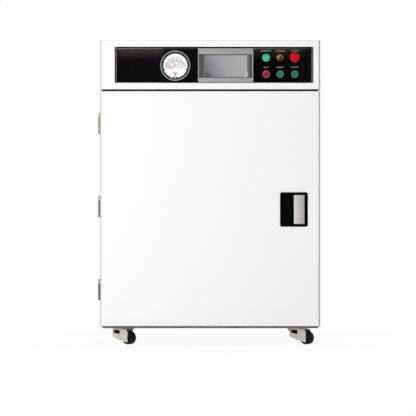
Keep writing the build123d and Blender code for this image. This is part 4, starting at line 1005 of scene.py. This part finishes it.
class OVEN_OT_controls(bpy.types.Operator):
    """Turns the bezels, caps, lamp lenses and the mushroom head"""

    bl_idname = "oven.controls"
    bl_label = "Buttons and lamps"

    def execute(self, context):
        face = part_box("console_fascia")[0].y / MM
        self.turn_buttons(face)
        for name in ("green_lamp_lens", "amber_lamp_lens"):
            self.turn_lens(name, face)
        self.turn_head()
        return {"FINISHED"}

    def turn_buttons(self, face):
        """Three flat caps, each on its own body, and the rings round them as one piece."""
        rings = bmesh.new()
        low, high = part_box("button_bezels")
        ring_front, ring_back = low.y / MM, high.y / MM
        for name in ("stop", "heat", "pump"):
            place, radius, front, back = round_node(name + "_button_cap")
            profile = [(9.4, ring_back), (9.4, ring_front + 2.4)]
            lip = ((1.0, 2.4), (1.0, 0.7), (1.4, 0.1), (2.0, 0.0), (2.8, 0.5), (3.1, 1.4))
            profile += [(radius + out, ring_front + deep) for out, deep in lip]
            profile += [(radius + 3.1, face), (11, face), (11, ring_back)]
            turn_into(rings, profile, place, 48, True)
            cap = bmesh.new()
            profile = [(0, front + 0.5), (radius * 0.45, front + 0.35), (radius * 0.78, front)]
            profile += [(radius - 0.7, front + 0.2), (radius, front + 1.0), (radius, front + 2.8)]
            profile += [(9, front + 2.8), (9, back), (0, back)]
            turn_into(cap, profile, place, 48)
            cap_node = name + "_button_cap"
            piece(name + "_button_face", cap, SLOT_OF[cap_node], (), name + "_button", (cap_node,))
        slot = SLOT_OF["button_bezels"]
        piece("button_bezel_rings", rings, slot, ["ring_chrome"], replaces=("button_bezels",))

    def turn_lens(self, name, face):
        """A domed lens that stands through the fascia."""
        place, radius, front, back = round_node(name)
        dome = ((0.35, 0.15), (0.6, 0.75), (0.8, 2.0), (0.92, 3.8), (0.96, 5.4))
        profile = [(0, front)] + [(radius * share, front + deep) for share, deep in dome]
        profile += [(radius, face - 0.8), (radius, face), (11, face), (11, back), (0, back)]
        lens = bmesh.new()
        turn_into(lens, profile, place, 64)
        piece(name.replace("_lens", "_dome"), lens, SLOT_OF[name], replaces=(name,))

    def turn_head(self):
        """The mushroom head, hollow where its stem goes in."""
        place, radius, front, back = round_node("emergency_head")
        cap = ((0.45, 0.2), (0.7, 1.2), (0.88, 3.4), (0.97, 6.4), (1.0, 9.6), (0.985, 12), (0.93, 14))
        profile = [(0, front)] + [(radius * share, front + deep) for share, deep in cap]
        profile += [(radius * 0.85, back), (6.1, back), (6.1, back - 7.8), (0, back - 7.8)]
        head = bmesh.new()
        turn_into(head, profile, place, 72)
        piece("mushroom_head", head, "red_plastic", (), "emergency_twist_body", ("emergency_head",))


class OVEN_OT_latch(bpy.types.Operator):
    """Shapes the latch paddle with its hub, trunnions and crank arm"""

    bl_idname = "oven.latch"
    bl_label = "Latch"

    def execute(self, context):
        low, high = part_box("latch_paddle")
        pivot = Vector((*PADDLE_PIVOT, (low.z + high.z) / 2))
        paddle, pins = bmesh.new(), bmesh.new()
        near = (low.x, low.y, pivot.z - PADDLE_HALF)
        far = (pivot.x + 6 * MM, low.y + 6 * MM, pivot.z + PADDLE_HALF)
        box_into(paddle, near, far, context.scene.oven_sizes.paddle_rounding, 3)
        upright = Matrix.Rotation(math.pi / 2, 4, "X")
        for shape, radius, reach in ((paddle, 6, PADDLE_HALF), (pins, 4, (high.z - low.z) / 2)):
            span = reach / MM
            profile = [(0, -span), (radius - 0.4, -span), (radius, -span + 0.4)]
            profile += [(radius, span - 0.4), (radius - 0.4, span), (0, span)]
            turn_into(shape, profile, Matrix.Translation(pivot) @ upright, 32)
        arm_end = high.y - 3 * MM
        near = (pivot.x - 3 * MM, pivot.y, pivot.z - 6 * MM)
        box_into(paddle, near, (pivot.x + 3 * MM, arm_end, pivot.z + 6 * MM))
        rod = Matrix.Translation((pivot.x, arm_end, pivot.z)) @ upright
        turn_into(paddle, [(0, -6), (3, -6), (3, 6), (0, 6)], rod, 24)
        piece("latch_pull", paddle, SLOT_OF["latch_paddle"], ["paddle_nickel"], "paddle", ("latch_paddle",))
        piece("latch_pins", pins, "black_plastic", (), "paddle")
        return {"FINISHED"}


class OVEN_OT_hinges(bpy.types.Operator):
    """Drives two screws into each hinge leaf"""

    bl_idname = "oven.hinges"
    bl_label = "Hinges"

    def execute(self, context):
        radius = context.scene.oven_sizes.screw_head + 1 * MM
        levels = [middle("hinge_frame_leaves")[0].z + n * HINGE_PITCH for n in (-1, 0, 1)]
        for node, body, name in (
            ("hinge_frame_leaves", "cabinet", "hinge_frame_screws"),
            ("hinge_door_leaves", "door", "hinge_door_screws"),
        ):
            low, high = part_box(node)
            y = low.y + 14 * MM if body == "door" else high.y - 14 * MM
            places = [(HINGE_FACE_X, y, level + rise * MM) for level in levels for rise in (-28, 28)]
            names = (name, name + "_recesses")
            drive_crossed(names, places, radius, 1.2 * MM, 4.4 * MM, (-0.6 * MM, 0), FACE_LEFT, body)
        return {"FINISHED"}


class OVEN_OT_casters(bpy.types.Operator):
    """Turns the four caster wheels, puts a black block of painted shade in each fork, and bolts the caster plates to
    the base
    """

    bl_idname = "oven.casters"
    bl_label = "Casters"

    def execute(self, context):
        half = [(4.1, 15), (9.5, 15), (10.5, 13), (17.5, 13), (18.5, 15), (22.7, 15), (25.3, 13.9), (26.5, 11)]
        profile = half + [(radius, -width) for radius, width in reversed(half)]
        low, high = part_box("caster_plates")
        columns = {"left": low.x + 33 * MM, "right": high.x - 33 * MM}
        rows = {"front": low.y + 30 * MM, "rear": high.y - 30 * MM}
        turns = {corner: Matrix.Rotation(math.radians(CASTER_HEADINGS[corner]), 4, "Z") for corner in CASTER_HEADINGS}
        for corner, turn in turns.items():
            wheel, wheel_node = bmesh.new(), "caster_wheel_" + corner
            turn_into(wheel, profile, Matrix.Translation(middle(wheel_node)[0]) @ turn, 56, True)
            piece("caster_tyre_" + corner, wheel, "black_tyre", (), "wheel_" + corner, (wheel_node,))
        # a black block between the fork legs paints the shade inside the fork
        for corner, turn in turns.items():
            shade_block = bmesh.new()
            box_into(shade_block, (-24 * MM, -15.5 * MM, 40 * MM), (8 * MM, 15.5 * MM, 56.4 * MM), 1.5 * MM)
            row, column = corner.split("_")
            shade_block.transform(Matrix.Translation((columns[column], rows[row], 0)) @ turn)
            piece("caster_shroud_" + corner, shade_block, "black_plastic", (), "swivel_" + corner)
        places = [
            (x + side * 26 * MM, y + end * 23 * MM, high.z - 4.4 * MM)
            for x in columns.values()
            for y in rows.values()
            for side in (-1, 1)
            for end in (-1, 1)
        ]
        drive("caster_bolts", places, 5 * MM, 2.8 * MM, 6, FACE_DOWN, "zinc_steel", "cabinet")
        return {"FINISHED"}


class OVEN_OT_edges(bpy.types.Operator):
    """Paints shade on the upright edges of the door and console with grey strips, and lays dark strips of painted
    shade under the door and over it
    """

    bl_idname = "oven.edges"
    bl_label = "Edges"

    def execute(self, context):
        sizes = context.scene.oven_sizes
        for node, body, name in (
            ("door_skin", "door", "door_rolled_edges"),
            ("console_panel", "cabinet", "console_rolled_edges"),
        ):
            low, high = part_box(node)
            rolls = bmesh.new()
            # a grey strip on each upright edge paints its shade
            for left, right in ((low.x, low.x + sizes.left_edge_shade), (high.x - sizes.right_edge_shade, high.x)):
                box_into(rolls, (left, low.y - 0.3 * MM, low.z), (right, low.y + 1.6 * MM, high.z), 0.25 * MM)
            piece(name, rolls, "white_enamel", ["rolled_edge"], body)
        low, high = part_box("door_skin")
        sill, gap = bmesh.new(), bmesh.new()
        # a grey-brown strip under the door paints the shade there
        near = (low.x + 6 * MM, high.y - 10 * MM, low.z - 10.4 * MM)
        box_into(sill, near, (high.x - 6 * MM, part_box("front_frame")[0].y, low.z - 0.8 * MM), 1.2 * MM)
        piece("door_sill_strip", sill, "dark_enamel", ["painted_sill_shade"])
        # a black strip in the gap between door and console paints the shade in it
        near = (low.x + 6 * MM, low.y + 5 * MM, high.z + 1.2 * MM)
        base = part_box("console_panel")[0].z
        box_into(gap, near, (high.x - 10 * MM, low.y + 60 * MM, base - 0.8 * MM), 0.5 * MM)
        piece("console_gap_strip", gap, "black_plastic")
        return {"FINISHED"}


class OVEN_OT_door_inside(bpy.types.Operator):
    """Fixes the door's inner plate with screws round its rim"""

    bl_idname = "oven.door_inside"
    bl_label = "Door inside"

    def execute(self, context):
        low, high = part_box("door_plate")
        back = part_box("door_skin")[1].y + 0.5 * MM
        rise = (high.z - low.z - 80 * MM) / 3
        places = [(side * 418 * MM, back, low.z + 40 * MM + n * rise) for side in (-1, 1) for n in range(4)]
        places += [(x * MM, back, z) for z in (low.z + 18 * MM, high.z - 18 * MM) for x in (-210, 0, 210)]
        names = ("door_plate_screws", "door_plate_screw_recesses")
        drive_crossed(names, places, 4 * MM, 1.4 * MM, 4.4 * MM, (0, 0.7 * MM), FACE_BACK, "door")
        return {"FINISHED"}


class OVEN_OT_stage(bpy.types.Operator):
    """Lays the floor and sets the lamps, the world and the camera"""

    bl_idname = "oven.stage"
    bl_label = "Stage"

    def execute(self, context):
        setup = context.scene.oven_stage
        scene = context.scene
        scene.view_settings.view_transform = "Standard"
        self.lay_floor(setup)
        self.light_world(setup)
        self.hang_lamp("key_lamp", (-2.7, -4.3, 1.3), (0.0, -0.38, 0.6), 2.6, setup.key_level)
        self.hang_lamp("rear_lamp", (1.6, 6.5, 3.4), (0.0, 0.38, 0.6), 4.0, setup.rear_level)
        self.hang_cards()
        data = bpy.data.cameras.new("camera")
        camera = bpy.data.objects.new("camera", data)
        scene.collection.objects.link(camera)
        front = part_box("door_skin")[0].y
        camera.location = (setup.camera_x, front - setup.distance, setup.camera_z)
        camera.rotation_euler = (math.pi / 2, 0.0, 0.0)
        data.sensor_width = 36.0
        data.lens = data.sensor_width * setup.distance / setup.frame_width
        data.clip_end = 100.0
        scene.camera = camera
        return {"FINISHED"}

    def seen_rays(self, tree):
        """1 for the rays that the camera, a mirror or glass sends out, and 0 for those that only light."""
        ray = add(tree, "ShaderNodeLightPath").outputs
        seen = maths(tree, "MAXIMUM", ray["Is Camera Ray"], ray["Is Glossy Ray"])
        return maths(tree, "MAXIMUM", seen, ray["Is Transmission Ray"])

    def lay_floor(self, setup):
        """A plain pale floor: white to the camera, and it keeps the oven's soft shadow."""
        shape = bmesh.new()
        bmesh.ops.create_grid(shape, x_segments=1, y_segments=1, size=40.0)
        mesh = bpy.data.meshes.new("floor")
        shape.to_mesh(mesh)
        shape.free()
        floor = bpy.data.objects.new("floor", mesh)
        bpy.context.scene.collection.objects.link(floor)
        material, tree, shader, place = blank("floor paint, pale", setup.floor, 0.9)
        glow = add(tree, "ShaderNodeEmission", {"Color": WHITE, "Strength": 1.0}).outputs[0]
        away = add(tree, "ShaderNodeVectorMath", {0: place}, operation="LENGTH").outputs["Value"]
        share = maths(tree, "MULTIPLY", self.seen_rays(tree), between(tree, away, 0.4, 1.2, 0.94, 1.0))
        mix = add(tree, "ShaderNodeMixShader", {0: share, 1: shader.outputs[0], 2: glow})
        tree.links.new(mix.outputs[0], tree.nodes["Material Output"].inputs["Surface"])
        mesh.materials.append(material)

    def light_world(self, setup):
        """White where it is seen or mirrored, and softer where it only lights."""
        world = bpy.data.worlds.new("studio")
        world.use_nodes = True
        bpy.context.scene.world = world
        tree = world.node_tree
        tree.nodes.clear()
        soft = add(tree, "ShaderNodeBackground", {"Color": WHITE, "Strength": setup.world_level}).outputs[0]
        white = add(tree, "ShaderNodeBackground", {"Color": WHITE, "Strength": 1.0}).outputs[0]
        mix = add(tree, "ShaderNodeMixShader", {0: self.seen_rays(tree), 1: soft, 2: white})
        add(tree, "ShaderNodeOutputWorld", {"Surface": mix.outputs[0]})

    def hang_lamp(self, name, spot, target, size, power):
        """A large soft lamp that points at a target."""
        data = bpy.data.lights.new(name, "AREA")
        data.shape = "SQUARE"
        data.size = size
        data.energy = power
        lamp = bpy.data.objects.new(name, data)
        lamp.location = spot
        lamp.rotation_euler = (Vector(target) - Vector(spot)).to_track_quat("-Z", "Y").to_euler()
        lamp.visible_camera = False
        lamp.visible_glossy = False
        bpy.context.scene.collection.objects.link(lamp)

    def hang_cards(self):
        """Two bright cards that only mirror in the fascia, each fading from its top edge down."""
        left = [(-0.748, 1.841), (-0.358, 1.841), (-0.423, 1.768), (-0.634, 1.695), (-0.740, 1.642)]
        right = [(0.300, 1.865), (0.779, 1.865), (0.746, 1.752), (0.730, 1.557), (0.300, 1.557)]
        for side, outline, level in (("left", left, 1.0), ("right", right, 0.4)):
            mesh = bpy.data.meshes.new("reflection_card_" + side)
            mesh.from_pydata([(x, CARD_Y, z) for x, z in outline], [], [tuple(range(len(outline)))])
            card = bpy.data.objects.new("reflection_card_" + side, mesh)
            material = bpy.data.materials.new("card, warm white, " + side)
            material.use_nodes = True
            tree = material.node_tree
            tree.nodes.clear()
            place = add(tree, "ShaderNodeTexCoord").outputs["Object"]
            rise = between(tree, axes_of(tree, place)["Z"], 1.756, 1.841)
            power = maths(tree, "MULTIPLY_ADD", maths(tree, "POWER", rise, 1.6), 15.0 * level, 0.9 * level)
            glow = add(tree, "ShaderNodeEmission", {"Color": opaque(linear("#FFEDE8")), "Strength": power})
            add(tree, "ShaderNodeOutputMaterial", {"Surface": glow.outputs[0]})
            mesh.materials.append(material)
            card.visible_camera = False
            card.visible_diffuse = False
            card.visible_shadow = False
            card.visible_transmission = False
            bpy.context.scene.collection.objects.link(card)


class OVEN_PT_panel(bpy.types.Panel):
    """Lists the oven's pieces and settings"""

    bl_idname = "OVEN_PT_panel"
    bl_label = "Vacuum oven"
    bl_space_type = "VIEW_3D"
    bl_region_type = "UI"
    bl_category = "Vacuum oven"

    def draw(self, context):
        for operator in STEPS:
            self.layout.operator(operator.bl_idname)
        for group in (context.scene.oven_colours, context.scene.oven_sizes, context.scene.oven_stage):
            box = self.layout.box()
            for name in group.bl_rna.properties.keys():
                if name not in ("name", "rna_type"):
                    box.prop(group, name)


STEPS = (
    OVEN_OT_finishes,
    OVEN_OT_rear,
    OVEN_OT_fascia,
    OVEN_OT_gauge,
    OVEN_OT_touch_panel,
    OVEN_OT_controls,
    OVEN_OT_latch,
    OVEN_OT_hinges,
    OVEN_OT_casters,
    OVEN_OT_edges,
    OVEN_OT_door_inside,
    OVEN_OT_stage,
)
GROUPS = (("oven_colours", OvenColours), ("oven_sizes", OvenSizes), ("oven_stage", OvenStage))


def register():
    """Registers the settings, operators and panel."""
    for name, group in GROUPS:
        bpy.utils.register_class(group)
        setattr(bpy.types.Scene, name, PointerProperty(type=group))
    for operator in STEPS:
        bpy.utils.register_class(operator)
    bpy.utils.register_class(OVEN_PT_panel)


def unregister():
    """Takes them out again, in the opposite order."""
    bpy.utils.unregister_class(OVEN_PT_panel)
    for operator in reversed(STEPS):
        bpy.utils.unregister_class(operator)
    for name, group in reversed(GROUPS):
        delattr(bpy.types.Scene, name)
        bpy.utils.unregister_class(group)


def main():
    """Dresses the frame piece by piece."""
    register()
    for operator in STEPS:
        getattr(bpy.ops.oven, operator.bl_idname.split(".")[1])()


if __name__ == "__main__":
    main()
